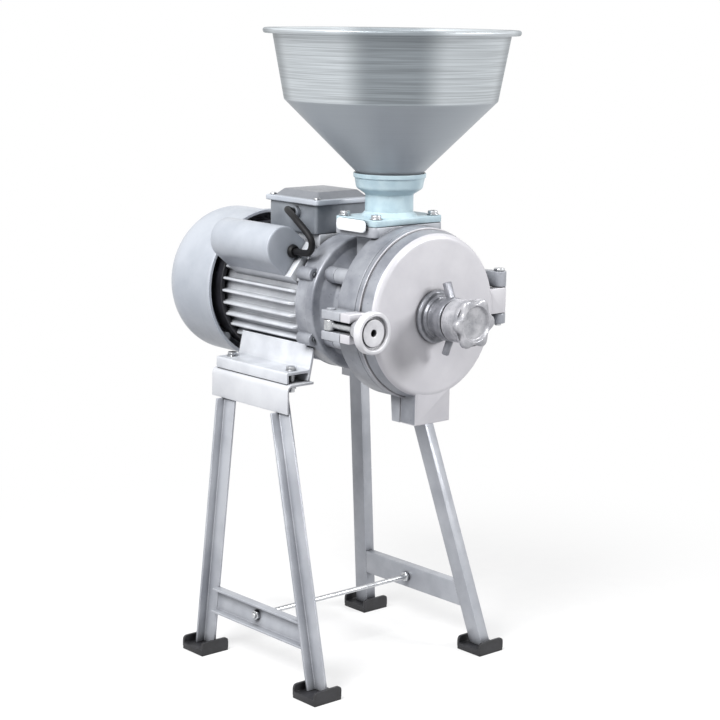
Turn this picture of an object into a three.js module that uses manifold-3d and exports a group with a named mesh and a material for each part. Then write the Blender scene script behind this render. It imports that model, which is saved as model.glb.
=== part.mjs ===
// Electric spice grinder: a disc mill coupled to a finned motor, on a splayed steel stand.
// Millimetres, +Z up, the shaft runs along Y and the mill door faces -Y.
import * as THREE from "three";
import Module from "manifold-3d";
import { mergeVertices } from "three/addons/utils/BufferGeometryUtils.js";

const wasm = await Module();
wasm.setup();

// Whole machine
const standHeight = 350;
const shaftRise = 90;
const shaftHeight = standHeight + shaftRise;
const seatGap = 0.3;
const runGap = 0.8;
const overrun = 4;

// Facet counts
const fineSides = 36;
const midSides = 20;
const smallSides = 10;
const hexSides = 6;
const bendSteps = 2;

// Stations along the shaft, each one measured on from the one before
const partingY = -109;
const partingGap = 0.6;
const doorDepth = 41;
const ringDepth = 24;
const coneDepth = 20;
const neckDepth = 22;
const shieldDepth = 45;
const statorLength = 150;
const rearShieldDepth = 14;
const coverLength = 104;
const coverLap = 8;
const doorBackY = partingY - partingGap / 2;
const doorFaceY = doorBackY - doorDepth;
const ringFrontY = partingY + partingGap / 2;
const ringBackY = ringFrontY + ringDepth;
const neckFrontY = ringBackY + coneDepth;
const neckBackY = neckFrontY + neckDepth;
const shieldFrontY = neckBackY + seatGap;
const shieldBackY = shieldFrontY + shieldDepth;
const statorFrontY = shieldBackY + seatGap;
const statorBackY = statorFrontY + statorLength;
const rearShieldFrontY = statorBackY + seatGap;
const rearShieldBackY = rearShieldFrontY + rearShieldDepth;
const coverFrontY = rearShieldBackY - coverLap;
const coverBackY = coverFrontY + coverLength;

// Mill chamber, cast in one with its throat, hinge and clamp ears
const ringRadius = 99;
const ringWall = 11;
const ringBevel = 3;
const chamberDepth = 18;
const neckRadius = 44;
const neckFlangeRadius = 50;
const neckFlangeDepth = 7;
const feedRadius = 31;
const feedBackWall = 8;
const sealBore = 14;
const ringInner = ringRadius - ringWall;
const chamberBackY = ringFrontY + chamberDepth;
const feedBackY = neckBackY - feedBackWall;

// Hopper axis and throat
const throatY = -69;
const throatHalfX = 30;
const throatHalfY = 25;
const throatWall = 7;
const throatFlangeTop = 96.3;
const throatFlangeThick = 9;
const throatFlangeFloor = 2;
const flangeHalfX = 53;
const flangeHalfY = 35;
const flangeCorner = 6;
const gateSheet = 2.4;
const gateHalfY = 20;
const gateTabHeight = 20;
const gateTabHalfY = 25;
const gateTabCorner = 7;
const gateTabOut = 4;
const railHeight = gateSheet + seatGap + seatGap;
const seatHoleBottom = throatFlangeTop - throatFlangeThick + throatFlangeFloor;
const throatInnerX = throatHalfX - throatWall;
const throatInnerY = throatHalfY - throatWall;
const gateReach = throatInnerX + throatWall / 2;
const gateStandOff = flangeHalfX + gateTabOut;
const seatBottom = throatFlangeTop + railHeight + seatGap;

// Hopper and its seat
const seatFlangeThick = 8;
const seatBoltX = 44;
const seatBoltY = 27;
const neckTubeRadius = 28;
const neckTubeBore = 24;
const cupBottom = 133;
const cupTop = 155;
const cupRimRadius = 45;
const cupLip = 2;
const hopperSheet = 1.8;
const hopperTop = 320;
const hopperRimRadius = 147;
const hopperWallRadius = 141;
const hopperLipHeight = 7;
const hopperCreaseRadius = 122.5;
const hopperCrease = 240;
const hopperSpoutRadius = 23;
const hopperSpoutBottom = 122;
const coneMouthRadius = 39.5;
const coneSlopeShare = (hopperCreaseRadius - coneMouthRadius) / (hopperCrease - cupTop);

// Door
const doorRadius = 99;
const doorEdge = 9;
const doorWall = 8;
const doorFaceThick = 6;
const doorHole = 13;
const doorInner = doorRadius - doorWall;
const doorInsideY = doorFaceY + doorFaceThick;

// Spout, half on the chamber and half on the door
const spoutHalfX = 27;
const spoutBottom = -125;
const spoutWall = 4;
const spoutDoorDepth = 26;
const spoutRearDepth = 22;
const spoutRearTaper = 9;

// Hinge
const hingeX = 114;
const hingeY = -138;
const hingeTop = 41;
const hingeBottom = -21;
const knuckleRadius = 8.5;
const knuckleLowSplit = -8.4;
const knuckleHighSplit = 22.4;
const knuckleGap = 0.6;
const hingePinRadius = 4;
const hingePinHead = 6.5;
const hingePinHeadThick = 3;
const hingeArmInset = 101.5;

// Swing clamp
const clampX = -112;
const clampZ = -5;
const earInner = 5.3;
const earThick = 11.5;
const earDepth = 16;
const bodyEarEnd = -121;
const doorEarEnd = -118;
const earRoot = -90;
const clampEyeRadius = 8;
const clampEyeBore = 4.2;
const clampEyeGap = 0.7;
const clampPivotBack = 9.5;
const clampRodRadius = 4.5;
const clampRodLength = 56;
const clampNoseGap = 0.9;
const clampNoseRadius = 11;
const clampNoseTip = 8.5;
const clampNoseLength = 14;
const clampNeckLength = 12;
const clampKnobRadius = 22;
const clampKnobDepth = 12;
const clampDishDepth = 5;
const clampRim = 4.5;
const clampHole = 3.6;
const pinHeadRadius = 5;
const pinHeadThick = 2;
const clampPivotY = ringFrontY + clampPivotBack;

// Adjuster in the middle of the door
const spindleRadius = 12;
const spindleHeadRadius = 17;
const spindleHeadThick = 3;
const bossFlangeRadius = 30.5;
const bossFlangeThick = 6;
const bossNeckRadius = 21;
const bossNeckLength = 14;
const lockRadius = 25;
const lockThick = 12;
const lockBarRadius = 4.5;
const lockBarReach = 41;
const lockBarSweep = 9;
const lockFlatWide = 9;
const lockFlatThick = 7;
const lockGap = 0.8;
const wheelBarrelRadius = 24.5;
const wheelLobeRadius = 30;
const wheelLobeDepth = 3.2;
const wheelLobes = 6;
const wheelLength = 33;
const wheelPlate = 9;
const wheelFlare = 6;
const wheelRecessRadius = 19;
const wheelRecessDepth = 3;
const wheelHubLength = 24;
const feedTravel = 3;

// Grinding discs
const discRadius = 75;
const discThick = 10;
const discGap = 0.6;
const discBore = 32;
const grooveCount = 12;
const grooveDepth = 2;
const grooveWidth = 4;
const fixedPlateThick = 4.4;
const fixedPlateRadius = 68;
const guidePinRadius = 5;
const guidePinPitch = 50;
const carrierThick = 7;
const carrierHub = 17;
const carrierWindows = 3;
const carrierWindowRadius = 9;
const carrierWindowPitch = 27;

// Shaft line
const shaftRadius = 10;
const bearingSeat = 12.5;
const coreSeat = 14;
const bearingRadius = 26;
const bearingWidth = 15;
const coreLength = 86;
const rotorRadius = 42;
const rotorRing = 36;
const rotorRingLength = 8;
const statorCoreBack = 66;
const windingLength = 14;
const windingInner = 46;
const windingOuter = 62;
const augerRadius = 27;
const augerHub = 13.5;
const augerSheet = 3;
const augerTurnShare = 1.5;
const augerSteps = 12;
const augerLength = 34;
const sealThick = 5;
const fanRadius = 70;
const fanHub = 16;
const fanPlate = 2.5;
const fanDepth = 30;
const fanBlades = 9;
const fanBladeSheet = 2.5;
const fanStandOff = 14;

// Motor housing
const frameBore = 66.5;
const frameRoot = 70;
const finTip = 79;
const finCount = 30;
const finRootShare = 0.3;
const finTipShare = 0.17;
const frameCollarRadius = 74;
const frameCollarDepth = 8;
const finTaper = 7;
const shieldRadius = 81;
const shieldRimDepth = 30;
const shieldDishRadius = 70;
const shieldFaceRadius = 48;
const shieldWall = 6;
const shieldLugAngle = 28;
const lugRadius = 8;
const lugScrewRadius = 3.5;
const lugScrewStand = 2.5;
const millBossRadius = 9.5;
const millBossLength = 20;
const millBossX = 52;
const millBossZ = 38;
const millBoltRadius = 6.5;
const millBoltThick = 5;
const millWebThick = 8;
const coverRadius = 88;
const coverSheet = 1.6;
const coverStraight = 40;
const coverRearRadius = 56;
const coverLipThick = 2.5;
const coverLipDepth = 6;
const slotCount = 12;
const slotWidth = 5;
const slotInner = 18;
const slotOuter = 50;
const ventPosts = 4;
const ventPostRadius = 4;

// Capacitor on the upper left of the frame, in a frame turned about the shaft
const capacitorTilt = 47;
const capacitorStand = 80.2;
const capacitorHalf = 25;
const capacitorHeight = 40;
const capacitorShell = 2;
const capacitorStripOut = 9;
const capacitorLength = 104;
const capacitorStart = 12;
const capacitorBody = 17;
const capacitorBodyLength = 82;

// Terminal box on top of the frame
const boxHalfX = 44;
const boxHalfY = 44;
const boxMidY = 54;
const boxHeight = 34;
const boxWall = 3;
const boxPadHalfX = 38;
const boxPadTop = 79.5;
const lidHalfX = 48;
const lidHalfY = 49;
const lidFlange = 6;
const lidCrown = 8;
const lidBevel = 8;
const lidInset = 9;
const lidScrewRadius = 4;
const lidScrewInset = 8;
const lidScrewHeight = 2.5;
const blockHalfX = 22;
const blockHalfY = 11;
const blockHeight = 12;
const blockStudRadius = 2.5;
const blockStudHeight = 7;
const blockStudPitch = 14;
const glandRadius = 10;
const glandLength = 18;
const glandBore = 4.5;
const glandNutRadius = 12.5;
const glandNutLength = 8;
const glandRise = 16;

// Lead from the terminal box to the capacitor
const leadRadius = 4;
const leadSides = 8;
const leadSteps = 26;
const leadSleeveRadius = 7;
const leadSleeveLength = 6;
const leadRise = 24;
const leadBoxBack = 35;
const grommetRadius = 8;
const grommetLength = 5;
const grommetU = 4;
const grommetV = 9.5;
const leadRoute = {
  out: { x: -62, y: 42, rise: 3 },
  over: { x: -73, y: 11, rise: -7 },
  down: { x: -71, y: -15, rise: -27 },
  back: { x: -65, y: -10, rise: -42 },
};

// Motor feet
const footOuterX = 103;
const footPlateHeight = 13.5;
const footPlateSheet = 3.5;
const footWebSheet = 4;
const footWebBottomX = 68;
const footWebTopX = 58;
const footWebTop = 44;
const footLength = 136;
const footBoltInset = 11;
const footBoltX = 87;
const boltRadius = 4;
const boltHeadRadius = 7;
const boltHeadThick = 5;
const holeClear = 0.5;

// Stand
const railOuterX = 106;
const railSheet = 3;
const railBend = 8;
const railDrop = 35;
const railFlange = 40;
const railOverhang = 5;
const legWeb = 22;
const legFlange = 14;
const legSheet = 2.6;
const legSpreadX = 25;
const frontLegSpreadY = 101;
const rearLegSpreadY = 9;
const rearLegInset = 19;
const shoeSize = 40;
const shoeBase = 8;
const shoeWall = 3;
const shoeRise = 9;
const shoeChamfer = 3;
const barHeight = 30;
const barBottom = 52;
const barFlange = 12;
const barSheet = 2.5;
const tieRadius = 3.5;
const tieNutRadius = 6.5;
const tieNutThick = 5;
const tieStickOut = 7;
const tieY = 18;

const railBottom = standHeight - railDrop;
const millBossPlaces = [1, -1].flatMap((across) => [1, -1].map((up) => [across * millBossX, up * millBossZ]));
const statorMidY = (statorFrontY + statorBackY) / 2;
const footMidY = statorMidY - railOverhang * 4;
const railLength = footLength + 2 * railOverhang;
const railFrontY = footMidY - railLength / 2;
const railBackY = footMidY + railLength / 2;

// Finishes of the real surfaces
const finish = (color, roughness, metalness) => new THREE.MeshStandardMaterial({ color, roughness, metalness });
const silverPaint = finish(0xa4a8ae, 0.45, 0.5);
const castGrey = finish(0xa0a3a8, 0.5, 0.5);
const doorGrey = finish(0xcfcfd3, 0.45, 0.3);
const paleSteel = finish(0xd6dade, 0.4, 0.4);
const spunAluminium = finish(0x979ca2, 0.35, 0.9);
const paleCyan = finish(0xcfe4e8, 0.5, 0.05);
const brightZinc = finish(0xc4c7ca, 0.3, 0.9);
const darkIron = finish(0x4d5054, 0.5, 0.8);
const copperRed = finish(0xa8623a, 0.4, 0.8);
const blackRubber = finish(0x141416, 0.7, 0);
const blackPlastic = finish(0x1c1c1f, 0.6, 0);
const whiteEnamel = finish(0xeef0f2, 0.35, 0.1);

// A closed geometry as a solid that can be joined and cut
function solidOf(geometry) {
  const bare = geometry.clone();
  bare.deleteAttribute("normal");
  if (bare.attributes.uv) bare.deleteAttribute("uv");
  const welded = mergeVertices(bare);
  const place = welded.attributes.position;
  const corner = (index) => new THREE.Vector3().fromBufferAttribute(place, index);
  const kept = [];
  let volume = 0;
  for (let at = 0; at < welded.index.count; at += 3) {
    const [a, b, c] = [0, 1, 2].map((step) => welded.index.getX(at + step));
    if (a === b || b === c || c === a) continue;
    volume += corner(a).dot(corner(b).cross(corner(c)));
    kept.push([a, b, c]);
  }
  const facing = volume < 0 ? kept.map(([a, b, c]) => [a, c, b]) : kept;
  const mesh = new wasm.Mesh({
    numProp: 3,
    vertProperties: new Float32Array(place.array),
    triVerts: new Uint32Array(facing.flat()),
  });
  return new wasm.Manifold(mesh);
}

function geometryOf(solid) {
  const { vertProperties, triVerts } = solid.getMesh();
  const geometry = new THREE.BufferGeometry();
  geometry.setAttribute("position", new THREE.BufferAttribute(vertProperties, 3));
  geometry.setIndex(new THREE.BufferAttribute(triVerts, 1));
  geometry.computeVertexNormals();
  return geometry;
}

const joined = (first, ...rest) => rest.reduce((all, next) => all.add(next), first);
const cut = (first, ...rest) => rest.reduce((all, next) => all.subtract(next), first);

function block([x0, x1], [y0, y1], [z0, z1]) {
  const geometry = new THREE.BoxGeometry(x1 - x0, y1 - y0, z1 - z0);
  return solidOf(geometry.translate((x0 + x1) / 2, (y0 + y1) / 2, (z0 + z1) / 2));
}

// An outline of [radius, station] corners turned about the Y axis
function turnedY(outline, sides = fineSides) {
  const corners = [...outline, outline[0]].map(([radius, station]) => new THREE.Vector2(radius, station));
  return solidOf(new THREE.LatheGeometry(corners, sides));
}

// An outline of [radius, height] corners turned about a vertical axis
function turnedZ(outline, [x, y], sides = fineSides) {
  const corners = [...outline, outline[0]].map(([radius, height]) => new THREE.Vector2(radius, height));
  return solidOf(new THREE.LatheGeometry(corners, sides).rotateX(Math.PI / 2).translate(x, y, 0));
}

function rodY(radius, [y0, y1], [x, z] = [0, 0], sides = smallSides) {
  const geometry = new THREE.CylinderGeometry(radius, radius, y1 - y0, sides);
  return solidOf(geometry.translate(x, (y0 + y1) / 2, z));
}

function rodZ(radius, [z0, z1], [x, y], sides = smallSides) {
  const geometry = new THREE.CylinderGeometry(radius, radius, z1 - z0, sides);
  return solidOf(geometry.rotateX(Math.PI / 2).translate(x, y, (z0 + z1) / 2));
}

function rodX(radius, [x0, x1], [y, z], sides = smallSides) {
  const geometry = new THREE.CylinderGeometry(radius, radius, x1 - x0, sides);
  return solidOf(geometry.rotateZ(Math.PI / 2).translate((x0 + x1) / 2, y, z));
}

function outlineOf(corners) {
  return new THREE.Shape(corners.map(([u, v]) => new THREE.Vector2(u, v)));
}

function extruded(shape, depth, steps = bendSteps) {
  return new THREE.ExtrudeGeometry(shape, { depth, bevelEnabled: false, curveSegments: steps });
}

// A shape drawn in X and Z, run along Y
function prismY(shape, [y0, y1], steps = bendSteps) {
  return solidOf(extruded(shape, y1 - y0, steps).rotateX(Math.PI / 2).translate(0, y1, 0));
}

// A shape drawn in X and Y, run along Z
function prismZ(shape, [z0, z1], steps = bendSteps) {
  return solidOf(extruded(shape, z1 - z0, steps).translate(0, 0, z0));
}

// A shape drawn in Y and Z, run along X
function prismX(shape, [x0, x1], steps = bendSteps) {
  const toX = new THREE.Matrix4().makeBasis(
    new THREE.Vector3(0, 1, 0),
    new THREE.Vector3(0, 0, 1),
    new THREE.Vector3(1, 0, 0),
  );
  return solidOf(extruded(shape, x1 - x0, steps).applyMatrix4(toX).translate(x0, 0, 0));
}

// A rectangle with round corners
function roundedPlate(halfU, halfV, corner, [midU, midV] = [0, 0]) {
  const shape = new THREE.Shape();
  const right = midU + halfU - corner;
  const left = midU - halfU + corner;
  const top = midV + halfV - corner;
  const bottom = midV - halfV + corner;
  shape.absarc(right, top, corner, 0, Math.PI / 2);
  shape.absarc(left, top, corner, Math.PI / 2, Math.PI);
  shape.absarc(left, bottom, corner, Math.PI, (3 * Math.PI) / 2);
  shape.absarc(right, bottom, corner, (3 * Math.PI) / 2, 2 * Math.PI);
  return shape;
}

const machine = new THREE.Group();
const stand = new THREE.Group();
const shaftLine = new THREE.Group();
shaftLine.position.z = shaftHeight;
machine.add(stand, shaftLine);

function add(group, name, solid, material) {
  const mesh = new THREE.Mesh(geometryOf(solid), material);
  mesh.name = name;
  group.add(mesh);
  return mesh;
}

// Stand. Sides are built for +X and turned over for -X.
const sides = { right: 1, left: -1 };
const mirrored = (solid, side) => (side > 0 ? solid : solidOf(geometryOf(solid).scale(side, 1, 1)));

function rail() {
  const inner = railOuterX - railSheet;
  const shape = new THREE.Shape();
  shape.moveTo(inner, railBottom);
  shape.lineTo(railOuterX, railBottom);
  shape.absarc(railOuterX - railBend, standHeight - railBend, railBend, 0, Math.PI / 2);
  shape.lineTo(railOuterX - railFlange, standHeight);
  shape.lineTo(railOuterX - railFlange, standHeight - railSheet);
  shape.absarc(railOuterX - railBend, standHeight - railBend, railBend - railSheet, Math.PI / 2, 0, true);
  const holes = footBoltYs().map((y) =>
    rodZ(boltRadius + holeClear, [standHeight - railBend, standHeight + overrun], [footBoltX, y]),
  );
  return cut(prismY(shape, [railFrontY, railBackY]), ...holes);
}

// A leg leans out and away from the rail: its level section slides as it goes down
const legLow = shoeBase + seatGap;
const legFall = railBottom - legLow;
const legs = {
  front: { topY: railFrontY + legWeb / 2, spread: -frontLegSpreadY },
  rear: { topY: railBackY - rearLegInset - legWeb / 2, spread: rearLegSpreadY },
};
const legTopX = railOuterX - railSheet - seatGap;

function leaned(geometry, spreadY) {
  const lean = new THREE.Matrix4().set(
    1, 0, -legSpreadX / legFall, (legSpreadX * railBottom) / legFall,
    0, 1, -spreadY / legFall, (spreadY * railBottom) / legFall,
    0, 0, 1, 0,
    0, 0, 0, 1,
  );
  return geometry.applyMatrix4(lean);
}

function leg(place, side) {
  const { topY, spread } = legs[place];
  const inner = legTopX - legSheet;
  const outer = inner + legFlange;
  const front = topY - legWeb / 2;
  const rear = topY + legWeb / 2;
  const flangeFirst = side > 0;
  const near = flangeFirst ? front : rear;
  const nearInside = flangeFirst ? front + legSheet : rear - legSheet;
  const far = flangeFirst ? rear : front;
  const section = outlineOf([
    [inner, near], [outer, near], [outer, nearInside], [legTopX, nearInside], [legTopX, far], [inner, far],
  ]);
  const top = standHeight - railBend - seatGap;
  const bar = solidOf(leaned(extruded(section, top - legLow).translate(0, 0, legLow), spread));
  const underRail = block(
    [legTopX, railOuterX + legFlange],
    [railFrontY - legWeb, railBackY + legWeb],
    [railBottom - seatGap, standHeight],
  );
  return cut(bar, underRail);
}

function shoe(place) {
  const { topY, spread } = legs[place];
  const midX = legTopX + legSpreadX - legSheet + legFlange / 2;
  const midY = topY + spread;
  const half = shoeSize / 2;
  const base = block([midX - half, midX + half], [midY - half, midY + half], [0, shoeBase]);
  const top = shoeBase + shoeRise;
  const walls = [-1, 1].map((end) => {
    const outer = midY + end * half;
    const inner = outer - end * shoeWall;
    const shape = outlineOf([
      [midX - half, shoeBase - shoeWall], [midX + half, shoeBase - shoeWall],
      [midX + half, top - shoeChamfer], [midX + half - shoeChamfer, top],
      [midX - half + shoeChamfer, top], [midX - half, top - shoeChamfer],
    ]);
    return prismY(shape, [Math.min(outer, inner), Math.max(outer, inner)]);
  });
  return joined(base, ...walls);
}

const barTop = barBottom + barHeight;
const barMidZ = barBottom + barHeight / 2;
const barWebX = legTopX + (legSpreadX * (railBottom - barMidZ)) / legFall;

function crossbar() {
  const inner = legTopX - legSheet;
  const web = inner + barSheet;
  const outer = inner + barFlange;
  const channel = outlineOf([
    [inner, barBottom], [outer, barBottom], [outer, barBottom + barSheet], [web, barBottom + barSheet],
    [web, barTop - barSheet], [outer, barTop - barSheet], [outer, barTop], [inner, barTop],
  ]);
  const front = railFrontY - frontLegSpreadY;
  const length = railBackY + rearLegSpreadY - front;
  const run = extruded(channel, length).rotateX(Math.PI / 2).translate(0, front + length, 0);
  const bar = solidOf(leaned(run, 0));
  const ends = Object.entries(legs).map(([place, { topY, spread }]) => {
    const edge = legWeb / 2 + seatGap;
    const [y0, y1] = place === "front" ? [topY - length, topY + edge] : [topY - edge, topY + length];
    const slab = new THREE.BoxGeometry(length, y1 - y0, legFall);
    slab.translate(legTopX, (y0 + y1) / 2, legLow + legFall / 2);
    return solidOf(leaned(slab, spread));
  });
  const hole = rodX(tieRadius + holeClear, [0, length], [tieY, barMidZ]);
  return cut(bar, ...ends, hole);
}

function tieRod() {
  const half = barWebX + tieStickOut;
  const leanSlack = (legSpreadX * tieNutRadius) / legFall + seatGap;
  const nut = (x0) => rodX(tieNutRadius, [x0, x0 + tieNutThick], [tieY, barMidZ], hexSides);
  const inside = barWebX - legSheet - leanSlack - tieNutThick;
  const outside = barWebX - legSheet + barSheet + leanSlack;
  const nuts = [inside, outside].flatMap((x0) => [nut(x0), nut(-x0 - tieNutThick)]);
  return joined(rodX(tieRadius, [-half, half], [tieY, barMidZ]), ...nuts);
}

function footBoltYs() {
  const reach = footLength / 2 - footBoltInset;
  return [footMidY - reach, footMidY + reach];
}

for (const [name, side] of Object.entries(sides)) {
  add(stand, `rail_${name}`, mirrored(rail(), side), paleSteel);
  add(stand, `crossbar_${name}`, mirrored(crossbar(), side), silverPaint);
  for (const place of Object.keys(legs)) {
    add(stand, `${place}_leg_${name}`, mirrored(leg(place, side), side), silverPaint);
    add(stand, `${place}_shoe_${name}`, mirrored(shoe(place), side), blackPlastic);
  }
}
add(stand, "tie_rod", tieRod(), brightZinc);

// Motor feet: a bent bracket down each side, with two bolts into the rail
function motorFoot() {
  const low = standHeight + seatGap;
  const top = standHeight + footPlateHeight;
  const under = top - footPlateSheet;
  const rise = footWebTop - seatGap;
  const lean = (footWebBottomX - footWebTopX) / rise;
  const webAt = (z) => footWebBottomX - lean * (z - low);
  const peak = standHeight + footWebTop;
  const lip = footOuterX - footPlateSheet;
  const section = outlineOf([
    [footOuterX, low], [footOuterX, top], [webAt(top) + footWebSheet, top], [webAt(peak) + footWebSheet, peak],
    [webAt(peak), peak], [webAt(low), low], [webAt(low) + footWebSheet, low],
    [webAt(under) + footWebSheet, under], [lip, under], [lip, low],
  ]);
  const reach = footLength / 2;
  const housing = rodY(finTip + seatGap, [footMidY - footLength, footMidY + footLength], [0, shaftHeight], fineSides);
  const shieldRoom = rodY(shieldRadius + seatGap, [shieldFrontY, shieldBackY + seatGap], [0, shaftHeight], fineSides);
  const holes = footBoltYs().map((y) => rodZ(boltRadius + holeClear, [low, top + overrun], [footBoltX, y]));
  return cut(prismY(section, [footMidY - reach, footMidY + reach]), housing, shieldRoom, ...holes);
}

function footBolt(y) {
  const seat = standHeight + footPlateHeight + seatGap;
  const under = standHeight - railSheet - seatGap;
  const at = [footBoltX, y];
  const head = rodZ(boltHeadRadius, [seat, seat + boltHeadThick], at, hexSides);
  const nut = rodZ(boltHeadRadius, [under - boltHeadThick, under], at, hexSides);
  return joined(rodZ(boltRadius, [under - boltHeadThick - boltRadius, seat + boltHeadThick / 2], at), head, nut);
}

for (const [name, side] of Object.entries(sides)) {
  add(stand, `motor_foot_${name}`, mirrored(motorFoot(), side), castGrey);
  footBoltYs().forEach((y, index) => {
    add(stand, `foot_bolt_${name}_${index + 1}`, mirrored(footBolt(y), side), brightZinc);
  });
}

// Motor frame: a ring of lengthwise fins with a pad for the terminal box and one for the capacitor
function capacitorFrame(geometry) {
  return geometry.rotateY(-THREE.MathUtils.degToRad(capacitorTilt));
}

function statorFrame() {
  const step = (2 * Math.PI) / finCount;
  const corners = Array.from({ length: finCount }, (_, index) => index * step).flatMap((angle) =>
    [[frameRoot, -finRootShare], [finTip, -finTipShare], [finTip, finTipShare], [frameRoot, finRootShare]].map(
      ([radius, share]) => [radius * Math.cos(angle + share * step), radius * Math.sin(angle + share * step)],
    ),
  );
  const run = [statorFrontY, statorBackY];
  const body = prismY(outlineOf(corners), run);
  const boxPad = block([-boxPadHalfX, boxPadHalfX], [boxMidY - boxHalfY, boxMidY + boxHalfY], [0, boxPadTop]);
  const capStart = statorFrontY + capacitorStart;
  const pad = new THREE.BoxGeometry(2 * capacitorHalf, capacitorLength + capacitorStripOut, capacitorStand);
  pad.translate(0, capStart + (capacitorLength - capacitorStripOut) / 2, capacitorStand / 2);
  const bore = rodY(frameBore, [run[0] - overrun, run[1] + overrun], [0, 0], fineSides);
  const fins = cut(body, finRunOut(run[0]));
  const collar = rodY(frameCollarRadius, [run[0], run[0] + frameCollarDepth], [0, 0], fineSides);
  return cut(joined(fins, collar, boxPad, solidOf(capacitorFrame(pad))), bore);
}

// The ring taken off the fins at the front, where they run out into a plain collar
function finRunOut(front) {
  const outside = finTip + overrun;
  const start = front + frameCollarDepth;
  return turnedY([
    [frameRoot, front - overrun], [outside, front - overrun], [outside, start + finTaper], [finTip, start + finTaper],
    [frameRoot, start],
  ]);
}

const coreFrontY = statorMidY - coreLength / 2;
const coreBackY = statorMidY + coreLength / 2;

function statorPack() {
  const bore = rotorRadius + runGap;
  return turnedY([
    [bore, coreFrontY], [windingInner, coreFrontY], [windingInner, coreFrontY - windingLength],
    [windingOuter, coreFrontY - windingLength], [windingOuter, coreFrontY], [statorCoreBack, coreFrontY],
    [statorCoreBack, coreBackY], [windingOuter, coreBackY], [windingOuter, coreBackY + windingLength],
    [windingInner, coreBackY + windingLength], [windingInner, coreBackY], [bore, coreBackY],
  ], midSides);
}

const frontBearingY = [shieldFrontY + shieldWall + seatGap, shieldFrontY + shieldWall + seatGap + bearingWidth];
const rearBearingY = [rearShieldBackY - shieldWall - seatGap - bearingWidth, rearShieldBackY - shieldWall - seatGap];

function frontShield() {
  const hub = bearingRadius + shieldWall;
  const hubEnd = frontBearingY[1];
  const rimFront = shieldBackY - shieldRimDepth;
  const body = turnedY([
    [sealBore, shieldFrontY], [shieldFaceRadius, shieldFrontY],
    [shieldFaceRadius + shieldWall, (shieldFrontY + rimFront) / 2], [shieldDishRadius, rimFront],
    [shieldRadius - shieldWall / 2, rimFront], [shieldRadius, rimFront + shieldWall / 2],
    [shieldRadius, shieldBackY], [shieldRadius - shieldWall, shieldBackY],
    [shieldRadius - shieldWall, rimFront + shieldWall], [shieldDishRadius, rimFront + shieldWall],
    [shieldFaceRadius, shieldFrontY + 2 * shieldWall], [hub, shieldFrontY + 2 * shieldWall], [hub, hubEnd],
    [bearingRadius + seatGap, hubEnd], [bearingRadius + seatGap, shieldFrontY + shieldWall],
    [sealBore, shieldFrontY + shieldWall],
  ]);
  const lugs = [1, -1].flatMap((across) => [1, -1].map((up) => {
    const angle = THREE.MathUtils.degToRad(shieldLugAngle);
    const x = across * shieldRadius * Math.cos(angle);
    const z = up * shieldRadius * Math.sin(angle);
    const front = rimFront + shieldWall;
    const boss = rodY(lugRadius, [front, shieldBackY], [x, z]);
    const screw = rodY(lugScrewRadius, [front - lugScrewStand, front + shieldWall], [x, z], hexSides);
    return joined(boss, screw);
  }));
  const inside = rodY(shieldRadius - shieldWall, [rimFront + shieldWall, shieldBackY + overrun], [0, 0], fineSides);
  const pads = millBossPlaces.map((at) => rodY(millBossRadius, [shieldFrontY, rimFront + shieldWall / 2], at));
  return joined(body, ...pads, ...lugs.map((lug) => cut(lug, inside)));
}

function rearShield() {
  const hub = bearingRadius + shieldWall;
  const hubEnd = rearBearingY[0];
  return turnedY([
    [sealBore, rearShieldBackY], [shieldRadius, rearShieldBackY], [shieldRadius, rearShieldFrontY],
    [shieldRadius - shieldWall, rearShieldFrontY], [shieldRadius - shieldWall, rearShieldBackY - shieldWall],
    [hub, rearShieldBackY - shieldWall], [hub, hubEnd], [bearingRadius + seatGap, hubEnd],
    [bearingRadius + seatGap, rearBearingY[1] + seatGap], [sealBore, rearBearingY[1] + seatGap],
  ]);
}

function bearing([y0, y1]) {
  return turnedY([
    [bearingSeat + seatGap, y0], [bearingRadius, y0], [bearingRadius, y1], [bearingSeat + seatGap, y1],
  ], midSides);
}

// Fan cover: a spun bowl whose rear wall has a ring of slots, on a rolled front lip
function fanCover() {
  const arcStart = coverFrontY + coverStraight;
  const arcRun = coverLength - coverStraight;
  const drop = coverRadius - coverRearRadius;
  const steps = 2 * bendSteps;
  const bowl = (inset) => Array.from({ length: steps + 1 }, (_, index) => {
    const turn = (index / steps) * (Math.PI / 2);
    return [
      coverRearRadius - inset + drop * Math.cos(turn),
      arcStart - inset * Math.sin(turn) + arcRun * Math.sin(turn),
    ];
  });
  const lip = coverRadius + coverLipThick;
  const shell = turnedY([
    [0, coverBackY], ...bowl(0).reverse(), [coverRadius, coverFrontY + coverLipDepth], [lip, coverFrontY + coverLipDepth],
    [lip, coverFrontY], [coverRadius - coverSheet, coverFrontY], ...bowl(coverSheet), [0, coverBackY - coverSheet],
  ]);
  const slots = Array.from({ length: slotCount }, (_, index) => {
    const slot = new THREE.BoxGeometry(slotOuter - slotInner, 2 * overrun, slotWidth);
    slot.translate((slotInner + slotOuter) / 2, coverBackY, 0);
    return solidOf(slot.rotateY((2 * Math.PI * index) / slotCount));
  });
  const reach = [coverFrontY + coverLipDepth, coverFrontY + coverLipDepth + 2 * ventPostRadius];
  const pads = Array.from({ length: ventPosts }, (_, index) => {
    const angle = ((2 * index + 1) * Math.PI) / ventPosts;
    const at = shieldRadius + seatGap + ventPostRadius;
    return rodY(ventPostRadius, reach, [at * Math.cos(angle), at * Math.sin(angle)], smallSides);
  });
  return joined(cut(shell, ...slots), ...pads);
}

const fanFrontY = rearShieldBackY + fanStandOff;

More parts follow.
